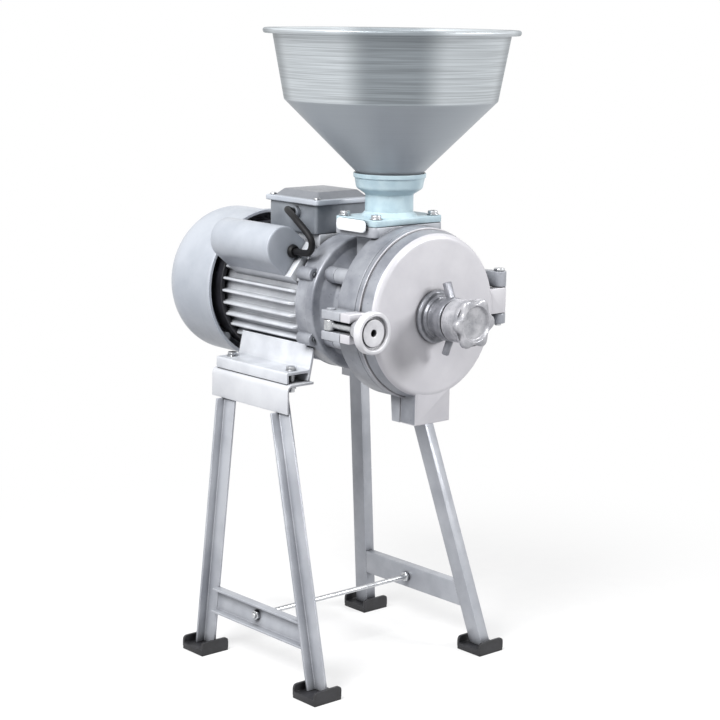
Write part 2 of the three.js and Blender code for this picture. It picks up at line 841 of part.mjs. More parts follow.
function coolingFan() {
  const hub = turnedY([
    [bearingSeat + seatGap, fanFrontY], [fanRadius, fanFrontY], [fanRadius, fanFrontY + fanPlate],
    [fanHub, fanFrontY + fanPlate], [fanHub, fanFrontY + fanDepth], [bearingSeat + seatGap, fanFrontY + fanDepth],
  ], midSides);
  const blades = Array.from({ length: fanBlades }, (_, index) => {
    const blade = new THREE.BoxGeometry(fanRadius - fanHub, fanDepth - fanPlate, fanBladeSheet);
    blade.translate((fanRadius + fanHub) / 2 - fanBladeSheet, fanFrontY + (fanDepth + fanPlate) / 2 - overrun / 4, 0);
    return solidOf(blade.rotateY((2 * Math.PI * index) / fanBlades));
  });
  return joined(hub, ...blades);
}

// Rotating parts between the fan and the grinding discs
const carrierBackY = chamberBackY - runGap;
const carrierFrontY = carrierBackY - carrierThick;
const rotatingDiscBackY = carrierFrontY - seatGap;
const rotatingDiscFrontY = rotatingDiscBackY - discThick;
const fixedDiscBackY = rotatingDiscFrontY - discGap;
const fixedDiscFrontY = fixedDiscBackY - discThick;
const plateBackY = fixedDiscFrontY - seatGap;
const plateFrontY = plateBackY - fixedPlateThick;
const shaftFrontY = rotatingDiscFrontY;
const shaftBackY = fanFrontY + fanDepth + shaftRadius;
const augerFrontY = carrierBackY + seatGap;

function mainShaft() {
  return turnedY([
    [0, shaftFrontY], [shaftRadius, shaftFrontY], [shaftRadius, shieldFrontY], [bearingSeat, shieldFrontY],
    [bearingSeat, coreFrontY - rotorRingLength], [coreSeat, coreFrontY - rotorRingLength],
    [coreSeat, coreBackY + rotorRingLength], [bearingSeat, coreBackY + rotorRingLength],
    [bearingSeat, shaftBackY], [0, shaftBackY],
  ], midSides);
}

function rotorCore() {
  const bore = coreSeat + seatGap;
  return turnedY([
    [bore, coreFrontY], [rotorRing, coreFrontY - rotorRingLength], [rotorRadius, coreFrontY],
    [rotorRadius, coreBackY], [rotorRing, coreBackY + rotorRingLength], [bore, coreBackY],
  ], midSides);
}

function groovedDisc([y0, y1], face, bore) {
  const ring = turnedY([[bore, y0], [discRadius, y0], [discRadius, y1], [bore, y1]], midSides);
  const grooves = Array.from({ length: grooveCount }, (_, index) => {
    const groove = new THREE.BoxGeometry(discRadius, 2 * grooveDepth, grooveWidth);
    groove.translate(bore + discRadius / 2 + grooveWidth, face, grooveWidth);
    return solidOf(groove.rotateY((2 * Math.PI * index) / grooveCount));
  });
  return cut(ring, ...grooves);
}

function discCarrier() {
  const bore = shaftRadius + seatGap;
  const plate = turnedY([
    [bore, rotatingDiscFrontY + discThick / 2], [carrierHub, rotatingDiscFrontY + discThick / 2],
    [carrierHub, carrierFrontY], [discRadius - carrierThick, carrierFrontY],
    [discRadius - carrierThick, carrierBackY], [bore, carrierBackY],
  ], midSides);
  const windows = Array.from({ length: carrierWindows }, (_, index) => {
    const angle = (2 * Math.PI * index) / carrierWindows;
    const at = [carrierWindowPitch * Math.cos(angle), carrierWindowPitch * Math.sin(angle)];
    return rodY(carrierWindowRadius, [carrierFrontY - overrun, carrierBackY + overrun], at);
  });
  return cut(plate, ...windows);
}

// Auger: a helical flight on a sleeve, drawing feed from the throat to the discs
function auger() {
  const bore = shaftRadius + seatGap;
  const back = augerFrontY + augerLength;
  const sleeve = turnedY([[bore, augerFrontY], [augerHub, augerFrontY], [augerHub, back], [bore, back]], midSides);
  const steps = Math.round(augerTurnShare * augerSteps);
  const pitchRun = augerLength - augerSheet;
  const inner = (bore + augerHub) / 2;
  const points = [];
  const faces = [];
  for (let step = 0; step <= steps; step += 1) {
    const angle = (2 * Math.PI * step) / augerSteps;
    const y = augerFrontY + (pitchRun * step) / steps;
    for (const [radius, lift] of [[inner, 0], [augerRadius, 0], [augerRadius, augerSheet], [inner, augerSheet]]) {
      points.push(radius * Math.cos(angle), y + lift, radius * Math.sin(angle));
    }
  }
  for (let step = 0; step < steps; step += 1) {
    for (let edge = 0; edge < 4; edge += 1) {
      const a = 4 * step + edge;
      const b = 4 * step + ((edge + 1) % 4);
      faces.push(a, b, b + 4, a, b + 4, a + 4);
    }
  }
  const end = 4 * steps;
  faces.push(0, 2, 1, 0, 3, 2, end, end + 1, end + 2, end, end + 2, end + 3);
  const flight = new THREE.BufferGeometry();
  flight.setAttribute("position", new THREE.Float32BufferAttribute(points, 3));
  flight.setIndex(faces);
  return joined(sleeve, solidOf(flight));
}

function shaftSeal() {
  const back = feedBackY - seatGap;
  return turnedY([
    [shaftRadius + seatGap, back - sealThick], [sealBore + sealThick, back - sealThick],
    [sealBore + sealThick, back], [shaftRadius + seatGap, back],
  ], midSides);
}

add(shaftLine, "stator_frame", statorFrame(), silverPaint);
add(shaftLine, "stator_pack", statorPack(), copperRed);
add(shaftLine, "front_shield", frontShield(), castGrey);
add(shaftLine, "rear_shield", rearShield(), castGrey);
add(shaftLine, "front_bearing", bearing(frontBearingY), brightZinc);
add(shaftLine, "rear_bearing", bearing(rearBearingY), brightZinc);
add(shaftLine, "fan_cover", fanCover(), silverPaint);
add(shaftLine, "cooling_fan", coolingFan(), blackPlastic);
add(shaftLine, "main_shaft", mainShaft(), brightZinc);
add(shaftLine, "rotor_core", rotorCore(), darkIron);
add(shaftLine, "auger", auger(), darkIron);
add(shaftLine, "shaft_seal", shaftSeal(), blackRubber);
add(shaftLine, "disc_carrier", discCarrier(), darkIron);
const rotatingY = [rotatingDiscFrontY, rotatingDiscBackY];
add(shaftLine, "rotating_disc", groovedDisc(rotatingY, rotatingDiscFrontY, carrierHub + seatGap), darkIron);

// Capacitor, its cover, and the turned group that holds them
const capacitorGroup = new THREE.Group();
capacitorGroup.rotation.y = -THREE.MathUtils.degToRad(capacitorTilt);
shaftLine.add(capacitorGroup);
const capacitorFrontY = statorFrontY + capacitorStart;
const capacitorBackY = capacitorFrontY + capacitorLength;
const capacitorFoot = capacitorStand + seatGap;

function capacitorSection(inset) {
  const half = capacitorHalf - inset;
  const shoulder = capacitorFoot + capacitorHeight - capacitorHalf;
  const shape = new THREE.Shape();
  shape.moveTo(-half, capacitorFoot - (inset > 0 ? overrun : 0));
  shape.lineTo(half, capacitorFoot - (inset > 0 ? overrun : 0));
  shape.absarc(0, shoulder, half, 0, Math.PI);
  return shape;
}

function capacitorCover() {
  const shell = prismY(capacitorSection(0), [capacitorFrontY, capacitorBackY], 3 * bendSteps);
  const ends = [capacitorFrontY + capacitorShell, capacitorBackY - capacitorShell];
  const hollow = prismY(capacitorSection(capacitorShell), ends, 3 * bendSteps);
  const at = [grommetU, capacitorFoot + grommetV];
  const hole = rodY(leadRadius + holeClear, [capacitorFrontY - overrun, ends[0] + overrun], at);
  return cut(shell, hollow, hole);
}

function capacitor() {
  const mid = (capacitorFrontY + capacitorBackY) / 2;
  const z = capacitorFoot + capacitorBody + seatGap;
  return rodY(capacitorBody, [mid - capacitorBodyLength / 2, mid + capacitorBodyLength / 2], [0, z], midSides);
}

function leadGrommet() {
  const at = [grommetU, capacitorFoot + grommetV];
  const front = capacitorFrontY - seatGap;
  const body = rodY(grommetRadius, [front - grommetLength, front], at);
  return cut(body, rodY(leadRadius + seatGap, [front - grommetLength - overrun, front + overrun], at));
}

add(capacitorGroup, "capacitor_cover", capacitorCover(), silverPaint);
add(capacitorGroup, "capacitor", capacitor(), whiteEnamel);
add(capacitorGroup, "lead_grommet", leadGrommet(), blackRubber);

// Terminal box, lid and fittings
const boxBottom = boxPadTop + seatGap;
const boxTop = boxBottom + boxHeight;
const boxY = [boxMidY - boxHalfY, boxMidY + boxHalfY];
const leadStartY = boxY[0] + leadBoxBack;

function terminalBox() {
  const body = prismZ(roundedPlate(boxHalfX, boxHalfY, boxWall, [0, boxMidY]), [boxBottom, boxTop]);
  const inner = roundedPlate(boxHalfX - boxWall, boxHalfY - boxWall, boxWall, [0, boxMidY]);
  const hollow = prismZ(inner, [boxBottom + boxWall, boxTop + overrun]);
  const sleeveX = [-boxHalfX - leadSleeveLength, -boxHalfX + boxWall / 2];
  const sleeve = rodX(leadSleeveRadius, sleeveX, [leadStartY, boxBottom + leadRise]);
  const leadHole = rodX(leadRadius + seatGap, [-boxHalfX - overrun * 2, -boxHalfX + overrun * 2], [
    leadStartY, boxBottom + leadRise,
  ]);
  const glandHole = rodX(glandRadius - boxWall, [boxHalfX - overrun * 2, boxHalfX + overrun], [
    boxMidY, boxBottom + glandRise,
  ]);
  return cut(joined(body, sleeve), hollow, leadHole, glandHole);
}

function terminalLid() {
  const low = boxTop + seatGap;
  const flange = prismZ(roundedPlate(lidHalfX, lidHalfY, boxWall, [0, boxMidY]), [low, low + lidFlange]);
  const crownBase = low + lidFlange - boxWall;
  const foot = roundedPlate(lidHalfX - lidInset - lidBevel, lidHalfY - lidInset - lidBevel, boxWall, [0, boxMidY]);
  const bevelled = new THREE.ExtrudeGeometry(foot, {
    depth: boxWall, bevelThickness: lidCrown, bevelSize: lidBevel, bevelSegments: 1, curveSegments: bendSteps,
  });
  const crown = solidOf(bevelled.translate(0, 0, crownBase));
  const above = block([-lidHalfX, lidHalfX], [boxMidY - lidHalfY, boxMidY + lidHalfY], [crownBase, low + 2 * boxHeight]);
  const screws = [1, -1].flatMap((across) => [1, -1].map((along) => {
    const at = [across * (lidHalfX - lidScrewInset), boxMidY + along * (lidHalfY - lidScrewInset)];
    return rodZ(lidScrewRadius, [low + lidFlange - boxWall, low + lidFlange + lidScrewHeight], at, smallSides / 2);
  }));
  return joined(flange, crown.intersect(above), ...screws);
}

function terminalBlock() {
  const floor = boxBottom + boxWall + seatGap;
  const top = floor + blockHeight;
  const base = block([-blockHalfX, blockHalfX], [boxMidY - blockHalfY, boxMidY + blockHalfY], [floor, top]);
  const studs = [-1, 0, 1].map((place) =>
    rodZ(blockStudRadius, [top - boxWall, top + blockStudHeight], [place * blockStudPitch, boxMidY], smallSides / 2),
  );
  return joined(base, ...studs);
}

function cableGland() {
  const start = boxHalfX + seatGap;
  const at = [boxMidY, boxBottom + glandRise];
  const nut = rodX(glandNutRadius, [start, start + glandNutLength], at, hexSides);
  const body = rodX(glandRadius, [start + glandNutLength / 2, start + glandLength], at);
  return cut(joined(nut, body), rodX(glandBore, [start - overrun, start + glandLength + overrun], at));
}

add(shaftLine, "terminal_box", terminalBox(), castGrey);
add(shaftLine, "terminal_lid", terminalLid(), silverPaint);
add(shaftLine, "terminal_block", terminalBlock(), blackPlastic);
add(shaftLine, "cable_gland", cableGland(), blackPlastic);

// The lead loops forward out of the box and down into the capacitor cover
function capacitorLead() {
  const tilt = THREE.MathUtils.degToRad(capacitorTilt);
  const [u, v] = [grommetU, capacitorFoot + grommetV];
  const endX = u * Math.cos(tilt) - v * Math.sin(tilt);
  const endZ = u * Math.sin(tilt) + v * Math.cos(tilt);
  const endY = capacitorFrontY - seatGap;
  const startZ = boxBottom + leadRise;
  const route = new THREE.CatmullRomCurve3([
    new THREE.Vector3(-boxHalfX, leadStartY, startZ),
    new THREE.Vector3(-boxHalfX - leadSleeveLength, leadStartY, startZ),
    ...Object.values(leadRoute).map(({ x, y, rise }) => new THREE.Vector3(x, y, startZ + rise)),
    new THREE.Vector3(endX, endY - grommetLength, endZ),
    new THREE.Vector3(endX, endY + capacitorShell, endZ),
  ]);
  const section = new THREE.Shape();
  section.absarc(0, 0, leadRadius, 0, 2 * Math.PI);
  const options = { extrudePath: route, steps: leadSteps, bevelEnabled: false, curveSegments: leadSides };
  return solidOf(new THREE.ExtrudeGeometry(section, options));
}
add(shaftLine, "capacitor_lead", capacitorLead(), blackRubber);

// Mill body: chamber ring, cone, neck and feed tube in one casting, with everything it carries
function millBody() {
  const casting = turnedY([
    [ringInner, ringFrontY], [ringRadius, ringFrontY], [ringRadius, ringBackY - ringBevel],
    [ringRadius - ringBevel, ringBackY], [(ringRadius + neckRadius) / 2, ringBackY + coneDepth / 3],
    [neckRadius + ringBevel, neckFrontY], [neckRadius, neckFrontY + ringBevel],
    [neckRadius, neckBackY - neckFlangeDepth], [neckFlangeRadius, neckBackY - neckFlangeDepth],
    [neckFlangeRadius, neckBackY], [sealBore, neckBackY], [sealBore, feedBackY], [feedRadius, feedBackY],
    [feedRadius, chamberBackY], [ringInner, chamberBackY],
  ]);
  const throat = block(
    [-throatHalfX, throatHalfX], [throatY - throatHalfY, throatY + throatHalfY], [0, throatFlangeTop],
  );
  const feedTube = rodY(feedRadius, [chamberBackY - overrun, feedBackY], [0, 0], fineSides);
  const sealRun = rodY(sealBore, [feedBackY - overrun, neckBackY + overrun], [0, 0], midSides);
  const chamber = rodY(ringInner, [ringFrontY - overrun, chamberBackY], [0, 0], fineSides);
  const feedWell = block(
    [-throatInnerX, throatInnerX], [throatY - throatInnerY, throatY + throatInnerY], [0, throatFlangeTop + overrun],
  );
  const body = joined(casting, throat, throatFlange(), ...millBosses(), bodySpout());
  const boltHoles = seatBoltPlaces().map((at) =>
    rodZ(boltRadius + holeClear, [seatHoleBottom, throatFlangeTop + railHeight + overrun], at),
  );
  const hollowed = cut(body, feedTube, sealRun, chamber, feedWell, spoutHollow(), gateWay(), ...boltHoles);
  return joined(hollowed, ...bodyEars(), ...hingeArms());
}

function throatFlange() {
  const shape = roundedPlate(flangeHalfX, flangeHalfY, flangeCorner, [0, throatY]);
  const plate = prismZ(shape, [throatFlangeTop - throatFlangeThick, throatFlangeTop]);
  const runners = prismZ(shape, [throatFlangeTop - throatFlangeThick, throatFlangeTop + railHeight]);
  return joined(plate, runners);
}

// The gate slides in a channel that is closed at its far end
function gateWay() {
  const halfWay = gateHalfY + seatGap;
  return block(
    [-flangeHalfX - overrun, gateReach + seatGap], [throatY - halfWay, throatY + halfWay],
    [throatFlangeTop, throatFlangeTop + railHeight + overrun],
  );
}

function seatBoltPlaces() {
  return [-1, 1].flatMap((across) => [-1, 1].map((along) => [across * seatBoltX, throatY + along * seatBoltY]));
}

// Four bosses bolt the mill to pads on the motor shield and tie back to the neck with webs

function millBosses() {
  const front = neckBackY - millBossLength;
  return millBossPlaces.map(([x, z]) => {
    const boss = rodY(millBossRadius, [front, neckBackY], [x, z]);
    const bolt = rodY(millBoltRadius, [front - millBoltThick, front + millBoltThick], [x, z], hexSides);
    const web = new THREE.BoxGeometry(Math.hypot(x, z), millBossLength - millBoltThick, millWebThick);
    web.rotateY(Math.atan2(-z, x)).translate(x / 2, neckBackY - (millBossLength - millBoltThick) / 2, z / 2);
    return joined(boss, bolt, solidOf(web));
  });
}

function spoutSide(depthFront, depthRear, taper) {
  return outlineOf([
    [depthFront, 0], [depthRear, 0], [depthRear - taper, spoutBottom], [depthFront, spoutBottom],
  ]);
}

function bodySpout() {
  const rear = ringFrontY + spoutRearDepth;
  return prismX(spoutSide(ringFrontY, rear, spoutRearTaper), [-spoutHalfX, spoutHalfX]);
}

function spoutHollow() {
  const rear = ringFrontY + spoutRearDepth - spoutWall;
  const shape = outlineOf([
    [ringFrontY - overrun, -ringInner / 2], [chamberBackY - overrun, -ringInner / 2],
    [chamberBackY - overrun, -ringInner], [rear - spoutRearTaper, spoutBottom - overrun],
    [ringFrontY - overrun, spoutBottom - overrun],
  ]);
  return prismX(shape, [-spoutHalfX + spoutWall, spoutHalfX - spoutWall]);
}

function earPair([y0, y1], end, root) {
  return [1, -1].map((up) => {
    const inner = clampZ + up * earInner;
    const outer = clampZ + up * (earInner + earThick);
    return block([end, root], [y0, y1], [Math.min(inner, outer), Math.max(inner, outer)]);
  });
}

function bodyEars() {
  const ears = earPair([ringFrontY, ringFrontY + earDepth], bodyEarEnd, earRoot);
  const heads = [1, -1].map((up) => {
    const face = clampZ + up * (earInner + earThick);
    const ends = [face - up * pinHeadThick, face + up * pinHeadThick].sort((a, b) => a - b);
    return rodZ(pinHeadRadius, ends, [clampX, clampPivotY]);
  });
  return [...ears, ...heads];
}

function hingeArms() {
  const outline = outlineOf([
    [ringInner, ringBackY - ringBevel], [hingeArmInset, ringBackY - ringBevel],
    [hingeX, ringFrontY], [hingeX + knuckleRadius, hingeY], [hingeX - knuckleRadius, hingeY],
    [hingeArmInset, ringFrontY - partingGap], [hingeArmInset, ringFrontY + partingGap], [ringInner, ringFrontY + partingGap],
  ]);
  const spans = [[hingeBottom, knuckleLowSplit - knuckleGap / 2], [knuckleHighSplit + knuckleGap / 2, hingeTop]];
  return spans.map((span) => {
    const arm = joined(prismZ(outline, span), rodZ(knuckleRadius, span, [hingeX, hingeY], midSides));
    const inside = rodY(ringInner + ringWall / 2, [ringFrontY - overrun, ringBackY], [0, 0], fineSides);
    const bore = rodZ(hingePinRadius + seatGap, [span[0] - overrun, span[1] + overrun], [hingeX, hingeY]);
    return cut(arm, inside, bore);
  });
}

function hingePin() {
  const top = hingeTop + seatGap;
  const bottom = hingeBottom - hingePinHeadThick;
  const shank = rodZ(hingePinRadius, [bottom, top + hingePinHeadThick], [hingeX, hingeY]);
  return joined(shank, rodZ(hingePinHead, [top, top + hingePinHeadThick], [hingeX, hingeY]));
}

// Door: a dished casting with its own knuckle, ear pair and the front half of the spout
function door() {
  const dish = turnedY([
    [0, doorFaceY], [doorRadius - doorEdge, doorFaceY],
    ...Array.from({ length: bendSteps }, (_, index) => {
      const turn = ((index + 1) / bendSteps) * (Math.PI / 2);
      return [doorRadius - doorEdge * (1 - Math.sin(turn)), doorFaceY + doorEdge * (1 - Math.cos(turn))];
    }),
    [doorRadius, doorBackY], [0, doorBackY],
  ]);
  const spoutFront = doorBackY - spoutDoorDepth;
  const spout = prismX(spoutSide(spoutFront, doorBackY, 0), [-spoutHalfX, spoutHalfX]);
  const hollow = rodY(doorInner, [doorInsideY, doorBackY + overrun], [0, 0], fineSides);
  const duct = block(
    [-spoutHalfX + spoutWall, spoutHalfX - spoutWall], [spoutFront + spoutWall, doorBackY + overrun],
    [spoutBottom - overrun, -ringInner / 2],
  );
  const hole = rodY(doorHole, [doorFaceY - overrun, doorInsideY + overrun], [0, 0], midSides);
  const shell = cut(joined(dish, spout), hollow, duct, hole);
  const ears = earPair([doorBackY - earDepth, doorBackY], doorEarEnd, earRoot)
    .map((ear) => cut(ear, hollow));
  const pinEnd = plateBackY - feedTravel - seatGap;
  return joined(shell, ...ears, doorKnuckle(), ...guidePins(guidePinRadius, [doorInsideY - doorFaceThick / 2, pinEnd]));
}

// Two pins keep the fixed disc from turning while it is fed along
function guidePins(radius, span) {
  return [1, -1].map((across) => rodY(radius, span, [across * guidePinPitch, 0]));
}

function doorKnuckle() {
  const span = [knuckleLowSplit + knuckleGap / 2, knuckleHighSplit - knuckleGap / 2];
  const outline = outlineOf([
    [doorInner + doorWall / 2, hingeY - knuckleRadius], [hingeX, hingeY - knuckleRadius],
    [hingeX, hingeY + knuckleRadius / 2], [doorInner + doorWall / 2, hingeY + 2 * knuckleRadius],
  ]);
  const arm = joined(prismZ(outline, span), rodZ(knuckleRadius, span, [hingeX, hingeY], midSides));
  return cut(arm, rodZ(hingePinRadius + seatGap, [span[0] - overrun, span[1] + overrun], [hingeX, hingeY]));
}

// Swing bolt and its dished knob
function swingBolt() {
  const half = earInner - clampEyeGap;
  const eye = rodZ(clampEyeRadius, [clampZ - half, clampZ + half], [clampX, clampPivotY], midSides);
  const rod = rodY(clampRodRadius, [clampPivotY - clampRodLength, clampPivotY], [clampX, clampZ]);
  return cut(joined(eye, rod), rodZ(clampEyeBore, [clampZ - earThick, clampZ + earThick], [clampX, clampPivotY]));
}

const clampNoseY = doorBackY - earDepth - clampNoseGap;
const clampNeckY = clampNoseY - clampNoseLength - seatGap;

function turnedOnClamp(outline) {
  const corners = [...outline, outline[0]].map(([radius, station]) => new THREE.Vector2(radius, station));
  return solidOf(new THREE.LatheGeometry(corners, midSides).translate(clampX, 0, clampZ));
}

function clampNose() {
  const bore = clampRodRadius + seatGap;
  const back = clampNoseY - clampNoseLength;
  return turnedOnClamp([
    [bore, clampNoseY], [clampNoseTip, clampNoseY], [clampNoseRadius, clampNoseY - clampNoseLength / 2],
    [clampNoseRadius, back], [bore, back],
  ]);
}

function clampKnob() {
  const dishY = clampNeckY - clampNeckLength;
  const front = dishY - clampKnobDepth;
  const bore = clampRodRadius + seatGap;
  const rodEnd = clampPivotY - clampRodLength - seatGap;
  return turnedOnClamp([
    [bore, clampNeckY], [clampNoseRadius, clampNeckY], [clampNoseRadius, dishY],
    [clampKnobRadius - clampRim / 3, dishY], [clampKnobRadius, dishY - clampRim / 3],
    [clampKnobRadius, front + clampRim / 3], [clampKnobRadius - clampRim / 3, front],
    [clampKnobRadius - clampRim, front], [clampKnobRadius - clampRim, front + clampDishDepth],
    [clampHole, front + clampDishDepth], [clampHole, rodEnd], [bore, rodEnd],
  ]);
}

// Adjuster: boss on the door, spindle, lock ring with two bars, lobed handwheel
const bossFaceY = doorFaceY - seatGap;
const bossEndY = bossFaceY - bossFlangeThick - bossNeckLength;
const lockBackY = bossEndY - seatGap;
const lockFrontY = lockBackY - lockThick;
const wheelBackY = lockFrontY - lockGap;
const wheelFrontY = wheelBackY - wheelLength;

function doorBoss() {
  const bore = spindleRadius + seatGap;
  const flangeFront = bossFaceY - bossFlangeThick;
  return turnedY([
    [bore, bossFaceY], [bossFlangeRadius, bossFaceY], [bossFlangeRadius, flangeFront + bossFlangeThick / 3],
    [bossFlangeRadius - bossFlangeThick / 3, flangeFront], [bossNeckRadius, flangeFront],
    [bossNeckRadius, bossEndY], [bore, bossEndY],
  ]);
}

function spindle() {
  const head = plateBackY + seatGap;
  const collar = plateFrontY - seatGap;
  return turnedY([
    [0, wheelBackY - wheelHubLength], [spindleRadius, wheelBackY - wheelHubLength],
    [spindleRadius, collar - spindleHeadThick], [spindleHeadRadius, collar - spindleHeadThick],
    [spindleHeadRadius, collar], [spindleRadius, collar], [spindleRadius, head],
    [spindleHeadRadius, head], [spindleHeadRadius, head + spindleHeadThick], [0, head + spindleHeadThick],
  ], midSides);
}

function lockRing() {
  const ring = turnedY([
    [spindleRadius + seatGap, lockFrontY], [lockRadius, lockFrontY], [lockRadius, lockBackY],
    [spindleRadius + seatGap, lockBackY],
  ], midSides);
  const bars = [1, -1].map((up) => {
    const root = (spindleRadius + lockRadius) / 2;
    const reach = lockBarReach - root;
    const length = Math.hypot(reach, lockBarSweep);
    const bar = up > 0
      ? new THREE.BoxGeometry(lockFlatWide, length, lockFlatThick)
      : new THREE.CylinderGeometry(lockBarRadius, lockBarRadius, length, smallSides);
    bar.rotateX(Math.PI / 2).rotateX(-up * Math.atan2(lockBarSweep, reach));
    const midY = (lockFrontY + lockBackY) / 2 + lockBarSweep / 2;
    return solidOf(bar.translate(0, midY, up * (root + reach / 2)));
  });
  const bore = rodY(spindleRadius + seatGap, [lockFrontY - overrun, bossEndY + overrun], [0, 0], midSides);
  return cut(joined(ring, ...bars), bore);
}

function handwheel() {
  const bore = spindleRadius + seatGap;
  const flareY = wheelFrontY + wheelPlate;
  const barrel = turnedY([
    [bore, wheelBackY], [wheelBarrelRadius, wheelBackY], [wheelBarrelRadius, flareY + wheelFlare],
    [wheelLobeRadius - wheelLobeDepth, flareY], [wheelLobeRadius - wheelLobeDepth, flareY - wheelFlare / 2],
    [bore, flareY - wheelFlare / 2],
  ], midSides);
  const count = wheelLobes * smallSides / 2;
  const rim = Array.from({ length: count }, (_, index) => {
    const angle = (2 * Math.PI * index) / count;
    const radius = wheelLobeRadius - wheelLobeDepth * (1 - Math.cos(wheelLobes * angle));
    return [radius * Math.cos(angle), radius * Math.sin(angle)];
  });
  const plate = prismY(outlineOf(rim), [wheelFrontY, flareY]);
  const recess = rodY(wheelRecessRadius, [wheelFrontY - overrun, wheelFrontY + wheelRecessDepth], [0, 0], midSides);
  const well = rodY(bore, [wheelBackY - wheelHubLength - seatGap, wheelBackY + overrun], [0, 0], midSides);
  return cut(joined(barrel, plate), recess, well);
}

function fixedPlate() {
  const bore = spindleRadius + seatGap;
  const plate = turnedY([
    [bore, plateFrontY], [fixedPlateRadius, plateFrontY], [fixedPlateRadius, plateBackY], [bore, plateBackY],
  ], midSides);
  const holes = guidePins(guidePinRadius + holeClear, [plateFrontY - overrun, plateBackY + overrun]);
  return cut(plate, ...holes);
}

// Hopper seat, feed gate and hopper, all on the hopper axis
const seatFlangeTop = seatBottom + seatFlangeThick;
const coneRadiusAt = (height) => coneMouthRadius + coneSlopeShare * (height - cupTop);
const coneEnd = cupTop - (coneMouthRadius - hopperSpoutRadius) / coneSlopeShare;

function hopperSeat() {
  const cupFloor = cupTop - (coneMouthRadius + seatGap - neckTubeBore) / coneSlopeShare;
  const tube = turnedZ([
    [neckTubeBore, seatBottom], [neckTubeRadius, seatBottom], [neckTubeRadius, cupBottom],
    [cupRimRadius - cupLip, cupTop - 2 * cupLip], [cupRimRadius, cupTop - cupLip], [cupRimRadius, cupTop + cupLip],
    [coneRadiusAt(cupTop + cupLip) + seatGap, cupTop + cupLip], [neckTubeBore, cupFloor],
  ], [0, throatY]);
  const shape = roundedPlate(flangeHalfX, flangeHalfY, flangeCorner, [0, throatY]);
  const plate = prismZ(shape, [seatBottom, seatFlangeTop]);
  const bore = rodZ(neckTubeBore, [seatBottom - overrun, seatFlangeTop + overrun], [0, throatY], midSides);
  const holes = seatBoltPlaces().map((at) =>
    rodZ(boltRadius + holeClear, [seatBottom - overrun, seatFlangeTop + overrun], at, smallSides),
  );
  return joined(cut(plate, bore, ...holes), tube);
}

function seatBolt(at) {
  const top = seatFlangeTop + seatGap;
  const head = rodZ(boltHeadRadius, [top, top + boltHeadThick], at, hexSides);
  return joined(rodZ(boltRadius, [seatHoleBottom + seatGap, top + boltHeadThick / 2], at), head);
}

function feedGate() {
  const low = throatFlangeTop + seatGap;
  const span = [throatY - gateHalfY, throatY + gateHalfY];
  const plate = block([-gateStandOff, gateReach], span, [low, low + gateSheet]);
  const mid = [throatY, low + gateSheet / 2];
  const tab = prismX(roundedPlate(gateTabHalfY, gateTabHeight / 2, gateTabCorner, mid), [
    -gateStandOff - gateSheet, -gateStandOff + gateSheet / 2,
  ]);
  return joined(plate, tab);
}

function hopper() {
  const lip = hopperTop - hopperLipHeight;
  const spoutBore = hopperSpoutRadius - hopperSheet;
  return turnedZ([
    [hopperSpoutRadius, hopperSpoutBottom], [hopperSpoutRadius, coneEnd], [hopperCreaseRadius, hopperCrease],
    [hopperWallRadius, lip], [hopperRimRadius - hopperSheet, lip], [hopperRimRadius, lip + hopperLipHeight / 3],
    [hopperRimRadius, hopperTop - hopperSheet], [hopperRimRadius - hopperSheet, hopperTop],
    [hopperWallRadius - hopperSheet, hopperTop - hopperSheet], [hopperWallRadius - hopperSheet, lip],
    [hopperCreaseRadius - hopperSheet, hopperCrease + hopperSheet / 2], [spoutBore, coneEnd + hopperSheet / 2],
    [spoutBore, hopperSpoutBottom],
  ], [0, throatY]);
}

add(shaftLine, "mill_body", millBody(), castGrey);
add(shaftLine, "hinge_pin", hingePin(), brightZinc);
add(shaftLine, "door", door(), doorGrey);
add(shaftLine, "swing_bolt", swingBolt(), brightZinc);
add(shaftLine, "clamp_nose", clampNose(), brightZinc);
add(shaftLine, "clamp_knob", clampKnob(), doorGrey);
add(shaftLine, "door_boss", doorBoss(), castGrey);
add(shaftLine, "adjusting_spindle", spindle(), brightZinc);
add(shaftLine, "lock_ring", lockRing(), castGrey);
add(shaftLine, "handwheel", handwheel(), doorGrey);
add(shaftLine, "disc_plate", fixedPlate(), darkIron);
add(shaftLine, "fixed_disc", groovedDisc([fixedDiscFrontY, fixedDiscBackY], fixedDiscBackY, discBore), darkIron);
add(shaftLine, "hopper_seat", hopperSeat(), paleCyan);
seatBoltPlaces().forEach((at, index) => {
  add(shaftLine, `seat_bolt_${index + 1}`, seatBolt(at), brightZinc);
});
add(shaftLine, "feed_gate", feedGate(), whiteEnamel);
add(shaftLine, "hopper", hopper(), spunAluminium);

// The origin is under the middle of the whole machine
machine.position.y = -(wheelFrontY + coverBackY) / 2;

export default machine;
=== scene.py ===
# %% [markdown]
# # Electric spice grinder
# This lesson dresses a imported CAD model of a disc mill: a finned motor on a splayed stand turns a grinding
# disc inside a round cast head, and a spun hopper feeds it. The CAD model gives every place and size. Here the
# round castings, the hopper and the sheet parts are built again with soft edges, and every surface gets a
# finish made of nodes. Lengths in the cells are millimetres, and each mesh is scaled to metres as it is made.

# %% Load the frame
import math

import bmesh
import bpy
from mathutils import Matrix, Vector


